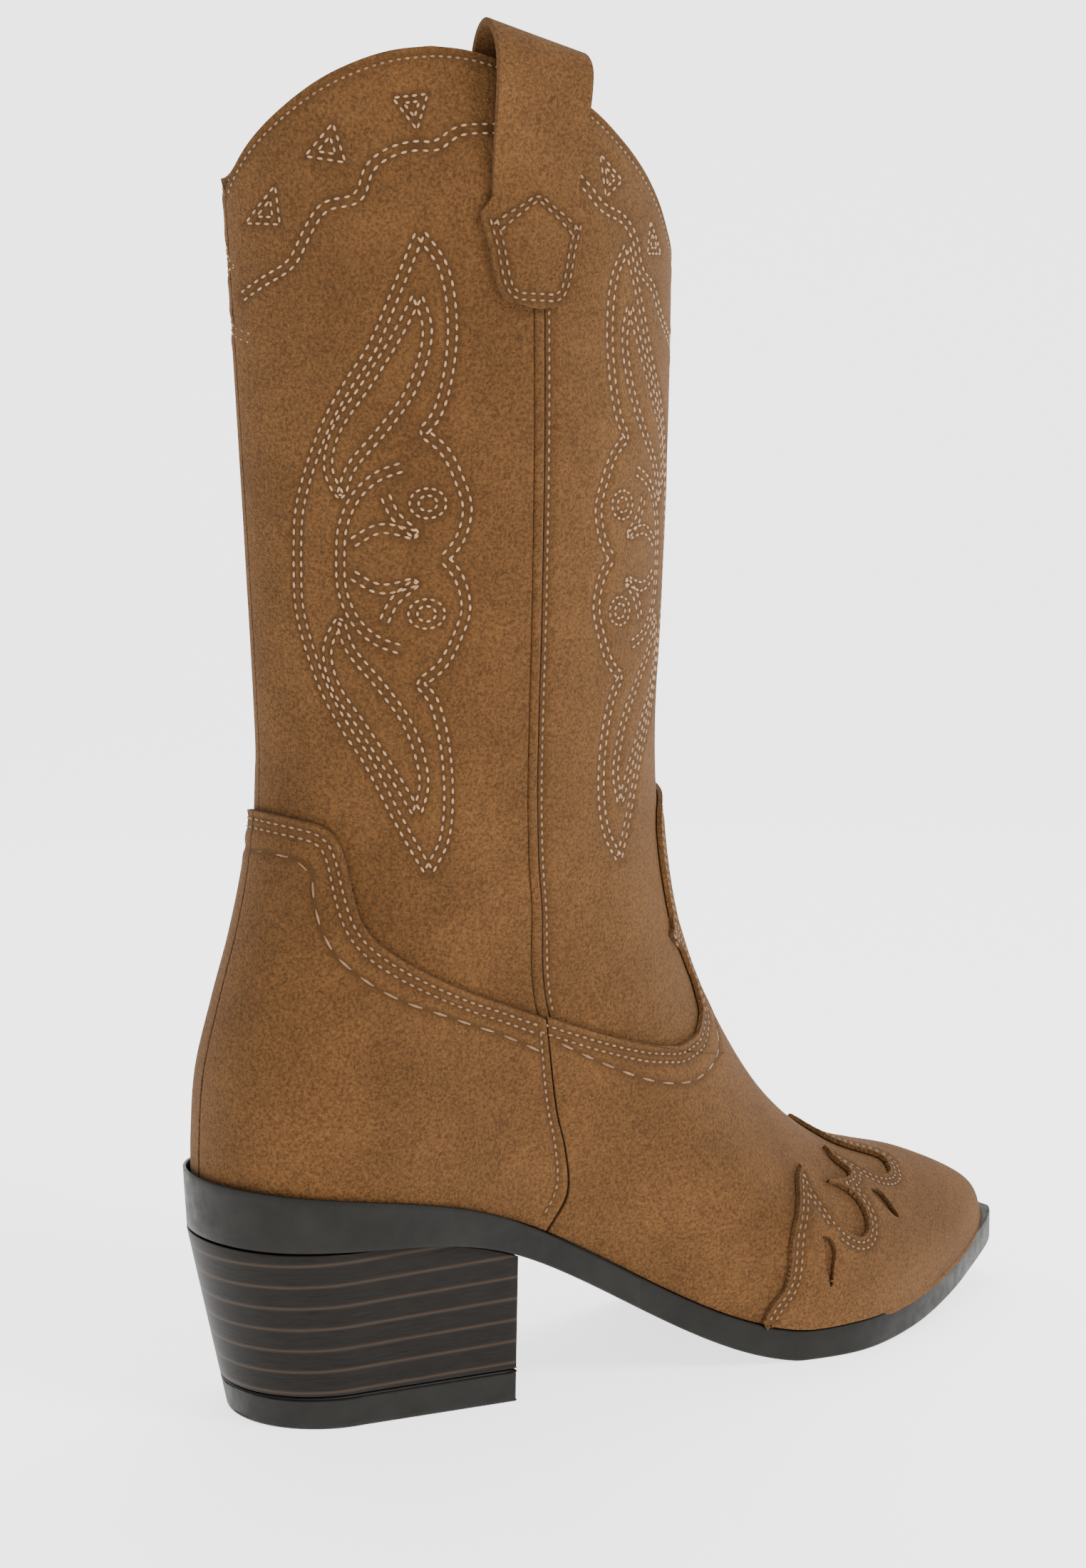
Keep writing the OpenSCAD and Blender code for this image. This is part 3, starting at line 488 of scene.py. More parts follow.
def flat_grid(across, up):
    """A flat grid from -1 to 1 both ways, and its corners as an array."""
    mesh = bmesh.new()
    bmesh.ops.create_grid(mesh, x_segments=across, y_segments=up, size=1)
    return mesh, np.array([corner.co[:2] for corner in mesh.verts])


def shape_grid(mesh, points, near):
    """Moves a grid's corners to the points and marks how close each is to a stitch, for painted stitch shade.
    """
    dent_shade_mark = mesh.verts.layers.float.new("stitch_dent_shade")
    for corner, point, distance in zip(mesh.verts, to_frame(points), near):
        corner.co = point
        corner[dent_shade_mark] = math.exp(-(distance / 0.9)**2)


def thicken(piece, thickness, softness):
    wall = piece.modifiers.new("wall", "SOLIDIFY")
    wall.thickness = thickness * CAD_MM
    wall.offset = -1
    edge = piece.modifiers.new("cut_edge", "BEVEL")
    edge.width = softness * CAD_MM
    edge.segments = 2
    edge.profile = 0.5
    edge.limit_method = "ANGLE"
    edge.angle_limit = math.radians(55)
    return piece


def suede_sheet(name, place, across, up, low, high, rows=(), keep=None, pucker=0.32, shape=None):
    """A cut piece of leather on the last: a fine grid laid on the skin, dented along its stitches."""
    mesh, flat = flat_grid(across, up)
    u, v = place((flat[:, 0] + 1) / 2, (flat[:, 1] + 1) / 2)
    base = skin(u, v)
    near = nearest(base, np.concatenate([along_rows(row) for row in rows]) if rows else np.zeros((0, 3)))
    out = high - pucker * np.exp(-(near / 1.1)**2) + 0.16 * np.exp(-((near - 2.6) / 1.3)**2) * (near < 6)
    if not rows:
        out = np.full(len(u), float(high))
    if shape is not None:
        out = out + shape(u, v, base)
    shape_grid(mesh, layer(u, v, out), near)
    if keep is not None:
        keep(mesh, u, v, out)
    return thicken(finished(name, mesh), high - low, CUT_EDGE)


def new_material(name):
    material = bpy.data.materials.new(name)
    material.use_nodes = True
    tree = material.node_tree
    place = tree.nodes.new("ShaderNodeTexCoord").outputs["Object"]
    return material, tree, tree.nodes["Principled BSDF"], place


def noise(tree, source, scale, detail=4.0, roughness=0.55):
    texture = tree.nodes.new("ShaderNodeTexNoise")
    texture.inputs["Scale"].default_value = scale
    texture.inputs["Detail"].default_value = detail
    texture.inputs["Roughness"].default_value = roughness
    tree.links.new(source, texture.inputs["Vector"])
    return texture.outputs["Fac"]


def colour_ramp(tree, source, stops):
    ramp = tree.nodes.new("ShaderNodeValToRGB")
    while len(ramp.color_ramp.elements) < len(stops):
        ramp.color_ramp.elements.new(0.5)
    for element, (place, colour) in zip(ramp.color_ramp.elements, stops):
        element.position = place
        element.color = (*colour, 1)
    tree.links.new(source, ramp.inputs["Fac"])
    return ramp.outputs["Color"]


def blend_colours(tree, kind, amount, first, second):
    mixer = tree.nodes.new("ShaderNodeMix")
    mixer.data_type = "RGBA"
    mixer.blend_type = kind
    if isinstance(amount, float):
        mixer.inputs[0].default_value = amount
    else:
        tree.links.new(amount, mixer.inputs[0])
    tree.links.new(first, mixer.inputs[6])
    if isinstance(second, tuple):
        mixer.inputs[7].default_value = (*second, 1)
    else:
        tree.links.new(second, mixer.inputs[7])
    return mixer.outputs[2]


def arithmetic(tree, kind, *values):
    node = tree.nodes.new("ShaderNodeMath")
    node.operation = kind
    for socket, value in zip(node.inputs, values):
        if isinstance(value, float):
            socket.default_value = value
        else:
            tree.links.new(value, socket)
    return node.outputs[0]


def bump(tree, shader, heights, distance, strength=1.0):
    node = tree.nodes.new("ShaderNodeBump")
    node.inputs["Distance"].default_value = distance
    node.inputs["Strength"].default_value = strength
    tree.links.new(heights, node.inputs["Height"])
    tree.links.new(node.outputs["Normal"], shader.inputs["Normal"])


def suede_material(name, light, deep):
    """Brushed nap: short fibres in clumps under a millimetre, with broad lighter and darker strokes."""
    material, tree, shader, place = new_material(name)
    broad = noise(tree, place, 38, 3.0, 0.6)
    clumps = noise(tree, place, 1150, 3.0, 0.7)
    fibres = noise(tree, place, 2300, 2.0, 0.6)
    tone = colour_ramp(tree, broad, [(0.32, deep), (0.66, light)])
    speckle = colour_ramp(tree, clumps, [(0.36, (0.48, 0.46, 0.44)), (0.52, (0.97, 0.96, 0.95)),
                                                 (0.68, (1.42, 1.39, 1.35))])
    tone = blend_colours(tree, "MULTIPLY", 0.85, tone, speckle)
    # Painted shade: the suede is darkened close to every row of stitches, standing in for the shadow in its
    # dents and holes.
    line = tree.nodes.new("ShaderNodeAttribute")
    line.attribute_name = "stitch_dent_shade"
    tone = blend_colours(tree, "MIX", line.outputs["Fac"], tone, tuple(0.68 * c for c in deep))
    tree.links.new(tone, shader.inputs["Base Color"])
    shader.inputs["Roughness"].default_value = 0.92
    shader.inputs["Specular IOR Level"].default_value = 0.12
    shader.inputs["Sheen Weight"].default_value = 0.08
    shader.inputs["Sheen Roughness"].default_value = 0.45
    shader.inputs["Sheen Tint"].default_value = (0.95, 0.74, 0.50, 1)
    bump(tree, shader, arithmetic(tree, "ADD", clumps, fibres), 0.0005)
    return material


tan_suede = suede_material("tan_suede", (0.132, 0.0605, 0.0196), (0.098, 0.044, 0.0137))


def fit(piece, material, *cad_names, slot="suede"):
    """Fixes a piece to the boot, in place of the CAD pieces named."""
    piece.data.materials.append(material)
    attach(piece, "boot")
    if cad_names:
        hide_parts(*cad_names)


SIDES = ((-1, "outer"), (1, "inner"))
fit(suede_sheet("shaft_front_panel", front_panel, 172, 190, -SUEDE, 0, ["front", "front_edge"]),
    tan_suede, "shaft_front")
for side, word in SIDES:
    fit(suede_sheet(f"shaft_back_panel_{word}", back_panel(side), 150, 205, -SUEDE, 0,
                    [f"back_{side}", f"back_{side}_edge"]),
        tan_suede, f"shaft_back_{word}")

# Side seam welts: a narrow folded strip of the same suede caught in each side seam, standing as a thin bead.
WELT_HALF_U = 1.35
for side, word in SIDES:
    def welt(s, t, side=side):
        v = mix(front_hem_v(SEAM_SHAFT_U), ring_at(topline_z(side * SEAM_SHAFT_U)), t)
        return side * seam_u(v) + (2 * s - 1) * WELT_HALF_U, v

    def bead(u, v, base, side=side):
        off = (u - side * seam_u(v)) / WELT_HALF_U
        return 0.75 * np.sqrt(np.clip(1 - off**2, 0, 1)) - 0.55

    fit(suede_sheet(f"side_welt_{word}_bead", welt, 6, 300, -SUEDE, 0.1, shape=bead), tan_suede,
        f"side_welt_{word}")

# Shaft lining: smooth tan leather cemented inside the suede in a front and a back piece, trimmed level with
# the raw top edge.
def lining_material(name, light, deep):
    material, tree, shader, place = new_material(name)
    broad = noise(tree, place, 25, 4.0)
    pores = noise(tree, place, 1500, 3.0)
    tree.links.new(colour_ramp(tree, broad, [(0.3, deep), (0.7, light)]), shader.inputs["Base Color"])
    shader.inputs["Roughness"].default_value = 0.6
    bump(tree, shader, pores, 0.0001, 0.5)
    return material


tan_lining = lining_material("tan_lining", (0.42, 0.27, 0.15), (0.34, 0.21, 0.11))
LINING_HIGH = -SUEDE - CEMENT


def lining_front(s, t):
    u = (2 * s - 1) * (SEAM_SHAFT_U - EDGE_HALF_U)
    return u, mix(3.84, ring_at(topline_z(u) - 0.2), t)


COUNTER_EDGE = [(95, 4.37), (104, 4.31), (112, 4.25), (120, 4.28), (128, 4.41), (134, 4.62), (137, 4.9),
                (139, 5.35), (140.5, 5.8), (143, 6.13), (148, 6.3), (153, 6.33), (159, 6.34), (165, 6.35),
                (171, 6.355), (176, 6.36), (180, 6.36)]


def lining_back(s, t):
    u = mix(91.2, 268.8, s)
    low = 0.875 * curve_through(COUNTER_EDGE, np.maximum(round_u(u), 95)) + 0.04
    return u, mix(low, ring_at(topline_z(u) - 0.2), t)


for name, place in (("front", lining_front), ("back", lining_back)):
    fit(suede_sheet(f"shaft_lining_{name}_piece", place, 90, 90, LINING_HIGH - LINING, LINING_HIGH),
        tan_lining, f"shaft_lining_{name}", slot="lining")

# Thread: each stitch is a short plump length of light tan or brown cotton lying in its dent, with its two
# ends going down into the leather.
def thread_material(name, light, deep, sheen):
    material, tree, shader, place = new_material(name)
    fibres = noise(tree, place, 300, 2.0)
    tree.links.new(colour_ramp(tree, fibres, [(0.35, deep), (0.65, light)]), shader.inputs["Base Color"])
    shader.inputs["Roughness"].default_value = 0.75
    shader.inputs["Sheen Weight"].default_value = sheen
    bump(tree, shader, noise(tree, place, 2600, 2.0), 0.0002, 0.6)
    return material


thread_tan = thread_material("thread_tan", (0.40, 0.232, 0.11), (0.27, 0.148, 0.067), 0.15)
# A browner thread for the edges of the shaft and the seams of the foot and straps, dyed close to the suede
thread_brown = thread_material("thread_brown", (0.25, 0.135, 0.06), (0.155, 0.078, 0.032), 0.1)

# One stitch to copy: a small plump grain of six sides
grain_mesh = bmesh.new()
bmesh.ops.create_uvsphere(grain_mesh, u_segments=6, v_segments=4, radius=1)
grain_points = np.array([corner.co[:] for corner in grain_mesh.verts])
grain_faces = [[corner.index for corner in face.verts] for face in grain_mesh.faces]
grain_mesh.free()


def lay_stitches(name, starts, ends, ups, thread, wide=0.75):
    run = ends - starts
    length = np.linalg.norm(run, axis=1, keepdims=True)
    run = run / length
    across = np.cross(ups, run)
    across /= np.linalg.norm(across, axis=1, keepdims=True)
    up = np.cross(run, across)
    axes = np.stack([run * length * 0.33, across * wide * 0.5 * CAD_MM, up * 0.3 * CAD_MM], 1)
    points = np.einsum("ij,njk->nik", grain_points, axes) + ((starts + ends) / 2)[:, None]
    firsts = np.arange(len(starts)) * len(grain_points)
    faces = [[corner + first for corner in face] for first in firsts.tolist() for face in grain_faces]
    data = bpy.data.meshes.new(name)
    data.from_pydata(points.reshape(-1, 3), [], faces)
    fit(link_smooth(name, data), thread)


def stitches(name, layer_name, out, thread):
    starts, ends, ups = [], [], []
    for line, pitch in stitch_rows[layer_name]:
        holes = evenly(line, pitch)
        points = to_frame(layer(holes[:, 0], holes[:, 1], np.full(len(holes), out)))
        starts.append(points[:-1])
        ends.append(points[1:])
        ups.append(facing(*((holes[1:] + holes[:-1]) / 2).T))
    lay_stitches(name, np.concatenate(starts), np.concatenate(ends), np.concatenate(ups), thread)


stitches("shaft_front_stitching", "front", -0.2, thread_tan)
stitches("shaft_front_edge_stitching", "front_edge", -0.25, thread_brown)
for side, word in SIDES:
    stitches(f"shaft_back_{word}_stitching", f"back_{side}", -0.2, thread_tan)
    stitches(f"shaft_back_{word}_edge_stitching", f"back_{side}_edge", -0.25, thread_brown)

# Counters: the two suede pieces round the heel, cut to a swoop that rises from the side seam to a point on
# the back, lasted over the sole and sewn to the shaft with two close rows and one long-stitched row.
LOWER_LOW, LOWER_HIGH = CEMENT, CEMENT + SUEDE
ROW_INSETS, THREAD_SINK = (2.2, 4.6), 0.2


def counter_panel(side):
    def place(s, t):
        back = s if side > 0 else 1 - s
        edge_u = np.interp(back, [0, 0.36, 0.76, 1], [95, 131, 149, 180])
        toward = (edge_u - 95) / 85
        gap = mix(EDGE_HALF_U, -2 * EDGE_HALF_U, toward)
        u = mix(mix(SEAM_FOOT_U, 180, toward), edge_u, t) + gap
        return side * u, curve_through(COUNTER_EDGE, edge_u) * t
    return place


def counter_line(side, short):
    """A line inside the counter's top edge, at a distance from it."""
    edge_u = np.linspace(96, 179, 160)
    line = np.stack([side * edge_u, curve_through(COUNTER_EDGE, edge_u)], 1)
    return beside(line, side * -short)


LONG_ROW = [(184, 5.59), (153, 5.59), (150, 5.01), (146, 4.38), (140, 4.04), (129, 3.74), (119, 3.72),
            (112, 3.76), (106, 3.84), (98, 3.88)]
for side, word in SIDES:
    name = f"counter_{side}"
    for short in ROW_INSETS:
        sew(name, counter_line(side, short), ROW_STITCH)
    sew(name, smooth_line([(side * min(u, 178.5), v) for u, v in LONG_ROW]), LONG_STITCH)
    seam = np.linspace(0.35, 4.2, 60)
    sew(name, np.stack([side * (mix(SEAM_FOOT_U, SEAM_LAP_U, seam / LAP_V) + 1.6), seam], 1), SEAM_STITCH)
    fit(suede_sheet(f"counter_{word}_piece", counter_panel(side), 170, 100, LOWER_LOW, LOWER_HIGH, [name]),
        tan_suede, f"counter_{word}")
    stitches(f"counter_{word}_stitching", name, LOWER_HIGH - THREAD_SINK, thread_brown)

# Vamp: one piece of suede pulled over the last from the side seams forward, its back edge rising in a scallop
# on each side to a rounded tongue in front of the shaft, sewn like the counters.
VAMP_EDGE = [(4.37, 95), (4.41, 95), (4.46, 86), (4.485, 78), (4.49, 69), (4.53, 59), (4.68, 48), (4.95, 36),
             (5.28, 29.5), (5.6, 31), (5.8, 40), (5.84, 36), (6.0, 34), (6.3, 34), (6.63, 35), (6.9, 35),
             (7.1, 32), (7.25, 24), (7.34, 12), (7.38, 2)]
edge_v, edge_u = np.array(VAMP_EDGE, float).T


def vamp_panel(s, t):
    v = np.interp(t, [0, 0.42, 0.7, 1], [0, 4.34, 4.75, 7.38])
    half = np.where(v < LAP_V, seam_u(v), np.interp(v, edge_v, edge_u)) - EDGE_HALF_U
    return (2 * s - 1) * half, v


def edge_line(side, short):
    line = np.stack([side * edge_u[1:], edge_v[1:]], 1)
    return beside(evenly(cut_up(line, np.linspace(0, 1, len(line)), 400), 1.0), side * short)


LONG_FRONT = [(96, 4.15), (81, 4.12), (73, 4.10), (64, 4.15), (52, 4.34), (37, 4.62), (24, 5.05), (17, 5.5)]
for side in (1, -1):
    for short in ROW_INSETS:
        sew("vamp", edge_line(side, short), ROW_STITCH)
    sew("vamp", smooth_line([(side * (u - 2), v) for u, v in LONG_FRONT]), LONG_STITCH)
fit(suede_sheet("vamp_piece", vamp_panel, 176, 236, LOWER_LOW, LOWER_HIGH, ["vamp"]), tan_suede, "vamp")
stitches("vamp_stitching", "vamp", LOWER_HIGH - THREAD_SINK, thread_brown)

# Toe cap: a separate suede overlay on the front of the vamp with flame-shaped points and cut-out drops, cut
# with a sharp edge and sewn close to it with two rows.
CAP_LOW, CAP_HIGH = 2 * CEMENT + SUEDE, 2 * (CEMENT + SUEDE)
FLAMES = [(80.5, 0.0), (80.5, 0.14), (78.5, 0.68), (72, 1.64), (65.2, 2.18), (54.5, 2.72), (46.5, 2.95),
          (46.5, 2.95), (54.5, 2.56), (58, 2.26), (60.2, 1.93), (60.5, 1.67), (59, 1.55), (56.2, 1.62),
          (52.5, 1.85), (49.5, 2.12), (48.2, 2.34), (49.3, 2.54), (49.3, 2.54), (44.8, 2.44), (40.8, 2.44),
          (37.6, 2.55), (34.2, 2.75), (27.5, 3.03), (27.5, 3.03), (31.5, 2.71), (35, 2.44), (35.6, 2.2),
          (32.5, 2.1), (27, 2.17), (19.5, 2.36), (14.5, 2.75), (9, 3.12), (3, 3.36), (0, 3.42)]
DROPS = [[(44.2, 2.12), (43, 2.02), (44.9, 1.8), (47.8, 1.54), (47.7, 1.73), (46.2, 1.95), (44.2, 2.12)],
         [(65.8, 1.76), (64.8, 1.68), (66.2, 1.47), (68.6, 1.22), (70.8, 0.87), (69.3, 1.32), (67.3, 1.57),
          (65.8, 1.76)]]
flame = smooth_line(FLAMES, 8)
cap_loops = [np.concatenate([flame, (flame * (-1, 1))[::-1]])]
for drop in DROPS:
    for side in (1, -1):
        cap_loops.append(smooth_line([(side * u, v) for u, v in drop], 8))


def is_inside(u, v, loops):
    inside = np.zeros(len(u), bool)
    for loop in loops:
        for (u0, v0), (u1, v1) in zip(loop, np.roll(loop, -1, axis=0)):
            if v0 != v1:
                inside ^= ((v0 > v) != (v1 > v)) & (u < (u1 - u0) * (v - v0) / (v1 - v0) + u0)
    return inside


cut_line = np.concatenate([evenly(loop, 0.25) for loop in cap_loops])
cut_tree = tree_of(skin(*cut_line.T))


def cut_flames(mesh, u, v, out):
    mesh.verts.index_update()
    order, faces = list(mesh.verts), list(mesh.faces)
    corners = np.array([[corner.index for corner in face.verts] for face in faces])
    inside = is_inside(u[corners].mean(1), v[corners].mean(1), cap_loops)
    bmesh.ops.delete(mesh, geom=[face for face, keep in zip(faces, inside) if not keep], context="FACES")
    kept = np.array([i for i, corner in enumerate(order)
                     if corner.is_valid and corner.is_boundary and v[i] > 0.01])
    rim = [order[i] for i in kept]
    hits = [cut_tree.find(point)[1] for point in skin(u[kept], v[kept])]
    points = to_frame(layer(*cut_line[hits].T, out[kept]))
    for corner, point in zip(rim, points):
        corner.co = point


def cap_panel(s, t):
    return (2 * s - 1) * 82, t * 3.46


for side in (1, -1):
    line = evenly((flame[flame[:, 1] > 0.12]) * (side, 1), 0.6)
    for short in (1.6, 3.4):
        moved = beside(line, side * short)
        gaps = np.array([cut_tree.find(point)[2] for point in skin(*moved.T)])
        good = is_inside(*moved.T, cap_loops) & (gaps > short - 0.35)
        breaks = np.flatnonzero(np.diff(good.astype(int))) + 1
        for run in np.split(np.arange(len(good)), breaks):
            if good[run[0]] and len(run) > 6:
                sew("cap", moved[run], 2.3)
fit(suede_sheet("toe_cap_piece", cap_panel, 262, 128, CAP_LOW, CAP_HIGH, ["cap"], keep=cut_flames), tan_suede,
    "toe_cap")
stitches("toe_cap_stitching", "cap", CAP_HIGH - THREAD_SINK, thread_brown)

# Pull straps: each is one length of the same suede, sewn outside the shaft by a shield-shaped tab, bent over
# in an open loop above the topline and sewn inside by a plain tail.
STRAP_T, STRAP_W, STRAP_WAIST, TAB_W, TAB_DROP, STANDOFF = 1.8, 28, 25, 31, 24, 7
SHAFT_WALL = SUEDE + CEMENT + LINING
STRAP_X = MOUTH_BACK + MOUTH_DEPTH / 2 - 1
SHOULDER_Q = -36
TAB_FOOT_Q = SHOULDER_Q - TAB_DROP
TAIL_END_Q = 214
TAB_OUTLINE = [(0, 0.2), (0.03, 0.42), (0.1, 0.57), (0.2, 0.68), (0.4, 0.77), (0.64, 0.84), (0.9, 0.96),
               (1, 1)]


def hinge_z(side):
    return SHAFT_HEIGHT - 5.5 - (INNER_DROP if side > 0 else 0)


def wall_y(x, z, side):
    v = ring_at(z)
    ring = np.moveaxis(flow(RINGS, v), -1, 0)
    s = np.clip((ring[0] - x) / (ring[0] - ring[2]), 0, 1)
    flat = 1 - INNER_FLATTENING * ease(v, 4.5, 12.5) if side > 0 else 1
    return ring[6] * (1 - BACK_RIDGE * s**5 - FRONT_RIDGE * (1 - s)**5) * 2 * np.sqrt(s * (1 - s)) * flat


def strap_half(q):
    shield = TAB_W / 2 * curve_through(TAB_OUTLINE, (q - TAB_FOOT_Q) / TAB_DROP)
    point = mix(TAB_W, STRAP_WAIST, (q - SHOULDER_Q) / 4) / 2
    leg = mix(STRAP_WAIST, STRAP_W, ease(q, SHOULDER_Q + 4, 0)) / 2
    return np.where(q < SHOULDER_Q, shield, np.where(q < SHOULDER_Q + 4, point, leg))


def strap_middle(q, across, side):
    q = np.asarray(q, float)
    hinge, turn = hinge_z(side), np.radians(np.clip(q, 0, 180))
    pivot = wall_y(STRAP_X, hinge, side) - SHAFT_WALL / 2
    stand = STANDOFF - SHAFT_WALL / 2
    z = hinge + np.where(q < 0, q, 180 - q)
    x = STRAP_X + across * np.where(q < 0, strap_half(q), STRAP_W / 2)
    away = np.where(q < 0, ease(q, SHOULDER_Q + 4, 0), ease(-q, -202, -180))
    leg = mix(wall_y(x, z, side), wall_y(STRAP_X, z, side), away) + mix(CEMENT + STRAP_T / 2, stand, away)
    tail = (mix(wall_y(x, z, side), wall_y(STRAP_X, z, side), away**2) - SHAFT_WALL
            - mix(2 * CEMENT + STRAP_T / 2, stand, away))
    looped = (q >= 0) & (q <= 180)
    y = np.where(looped, pivot + STANDOFF * np.cos(turn), np.where(q < 0, leg, tail))
    lean = (x - STRAP_X) * 0.22 if side < 0 else 0
    rise = ((10 if side < 0 else 13.5) - STRAP_T / 2 - lean) * np.sin(turn)
    return np.stack([x, y, np.where(looped, hinge + rise, z)], -1)


def strap_point(q, across, out, side):
    way = strap_middle(q + 0.5, across, side) - strap_middle(q - 0.5, across, side)
    normal = np.stack([0 * way[..., 0], way[..., 2], -way[..., 1]], -1)
    normal /= np.linalg.norm(normal, axis=-1, keepdims=True)
    return (strap_middle(q, across, side) + np.asarray(out)[..., None] * normal) * (1, side, 1)


# Down the tab: two rows round the shield, whose top edge dips to a chevron under the shoulders
def tab_row(inset):
    drop = np.linspace(0, 1, 60)
    q = mix(SHOULDER_Q - 1.5, TAB_FOOT_Q + inset, drop)
    wide = np.maximum(strap_half(q) - inset, 0.5)
    sides = [(q, wide / strap_half(q)), (q[::-1], -(wide / strap_half(q))[::-1])]
    x = np.linspace(-1, 1, 30)
    top = (SHOULDER_Q - 2 + inset * -0.9 + 9 * (1 - np.abs(x)), x * (1 - inset / strap_half(SHOULDER_Q - 2)))
    return [(np.concatenate([sides[0][0], sides[1][0]]), np.concatenate([sides[0][1], sides[1][1]])), top]


STRAP_STEPS = [(TAB_FOOT_Q, 9), (TAB_FOOT_Q + 3, 25), (SHOULDER_Q, 6), (SHOULDER_Q + 4, 33), (0, 59),
               (180, 34)]
STRAP_ENDS = [start for start, count in STRAP_STEPS[1:]] + [TAIL_END_Q]
steps_q = np.concatenate([np.linspace(start, end, count, endpoint=end == TAIL_END_Q)
                          for (start, count), end in zip(STRAP_STEPS, STRAP_ENDS)])
for side, word in SIDES:
    row_points, thread_ends = [], []
    for q, across in [points for inset in (1.8, 3.5) for points in tab_row(inset)]:
        fine = strap_point(q, across, np.full(len(q), STRAP_T / 2), side)
        length = lengths_along(fine)
        row_points.append(cut_up(fine, length, int(length[-1] / 0.5)))
        thread_ends.append(cut_up(fine, length, max(int(length[-1] / SEAM_STITCH), 2)))
    mesh, flat = flat_grid(40, len(steps_q) - 1)
    q = np.interp((flat[:, 1] + 1) / 2, np.linspace(0, 1, len(steps_q)), steps_q)
    across = flat[:, 0] * -side
    surface = strap_point(q, across, np.full(len(q), STRAP_T / 2), side)
    near = nearest(surface, np.concatenate(row_points))
    shape_grid(mesh, strap_point(q, across, STRAP_T / 2 - 0.3 * np.exp(-(near / 1.1)**2), side), near)
    strap = thicken(finished(f"pull_strap_{word}", mesh), STRAP_T, 0.35)
    strap.data.materials.append(tan_suede)
    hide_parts(f"strap_tab_{word}", f"strap_loop_{word}", f"strap_tail_{word}")
    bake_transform(strap)

    starts = to_frame(np.concatenate([ends[:-1] for ends in thread_ends]))
    stops = to_frame(np.concatenate([ends[1:] for ends in thread_ends]))
    outward = np.tile((0.0, side, 0.0), (len(starts), 1))
    lay_stitches(f"pull_strap_{word}_stitching", starts, stops, outward, thread_brown)

# Outsole: dark brown leather, flat-edged with softened corners, running from under the heel seat through the
# waist to the toe, where it stands a little proud of the upper all round.
sole_dark, tree, shader, place = new_material("sole_dark")
stain = noise(tree, place, 60, 5.0)
wear = noise(tree, place, 220, 3.0)
tree.links.new(colour_ramp(tree, stain, [(0.3, (0.0065, 0.0058, 0.0045)), (0.7, (0.0125, 0.011, 0.009))]),
          shader.inputs["Base Color"])
tree.links.new(colour_ramp(tree, wear, [(0.3, (0.42, 0.42, 0.42)), (0.7, (0.58, 0.58, 0.58))]),
          shader.inputs["Roughness"])
shader.inputs["Specular IOR Level"].default_value = 0.15
bump(tree, shader, noise(tree, place, 900, 4.0), 0.00012, 0.5)


def round_off(mesh, lines, width, steps):
    bmesh.ops.bevel(mesh, geom=lines, affect="EDGES", offset=width, offset_type="OFFSET", segments=steps,
                    profile=0.5, material=-1)


def plan_at(u, out):
    normal = facing(u, 0.0 * u)[..., :2]
    normal = normal / np.linalg.norm(normal, axis=-1, keepdims=True)
    return skin(u, 0.0 * u)[..., :2] + np.asarray(out)[..., None] * normal


around = np.linspace(0, 360, 721)
plan = plan_at(around, mix(SOLE_LEDGE, 7.0, 1 - ease(round_u(around), 0, 34)))
plan[:, 0] = np.minimum(plan[:, 0], SOLE_LENGTH / 2)
toe_end, heel_end = plan[:, 0].max(), plan[:, 0].min()
inner_rim = plan[:361][::-1]
outer_rim = plan[360:]
mesh = bmesh.new()
bmesh.ops.create_grid(mesh, x_segments=200, y_segments=24, size=1)
for corner in mesh.verts:
    share = (1 - math.cos(math.pi * (corner.co.x + 1) / 2)) / 2
    x = mix(heel_end, toe_end, share)
    inner = np.interp(x, inner_rim[:, 0], inner_rim[:, 1])
    outer = np.interp(x, outer_rim[:, 0], outer_rim[:, 1])
    corner.co = (x, mix(outer, inner, (corner.co.y + 1) / 2), sole_top(x))
lower = bmesh.ops.extrude_face_region(mesh, geom=mesh.faces[:])
for corner in [part for part in lower["geom"] if isinstance(part, bmesh.types.BMVert)]:
    corner.co.z = max(0, corner.co.z - SOLE_EDGE)
bmesh.ops.remove_doubles(mesh, verts=mesh.verts, dist=0.01)
bmesh.ops.recalc_face_normals(mesh, faces=mesh.faces)
corners = [line for line in mesh.edges if len(line.link_faces) == 2 and line.calc_face_angle() > 1.0]
round_off(mesh, corners, 0.7, 3)
for corner in mesh.verts:
    corner.co = to_frame(corner.co)
fit(finished("outsole_piece", mesh), sole_dark, "outsole", slot="sole")

# Seat rand: a narrow dark strip cupped round the back of the heel seat, cemented on the edge of the sole and
# covering the foot of the counter, highest at the back and running out before the waist.
mesh, flat = flat_grid(180, 8)
rand_u = mix(97, 263, (flat[:, 0] + 1) / 2)
up = (flat[:, 1] + 1) / 2
rise = 7.5 * ease(round_u(rand_u), 104, 165)
rand_xy = plan_at(rand_u, 2.95 + 0.12 * rise * up)
seat = sole_top(rand_xy[:, 0])
rand_z = mix(seat - SOLE_EDGE + 0.2, seat - 0.4 + rise, up)
for corner, point in zip(mesh.verts, to_frame(np.column_stack([rand_xy, rand_z]))):
    corner.co = point
fit(thicken(finished("seat_rand", mesh), 1.0, CUT_EDGE), sole_dark, slot="sole")

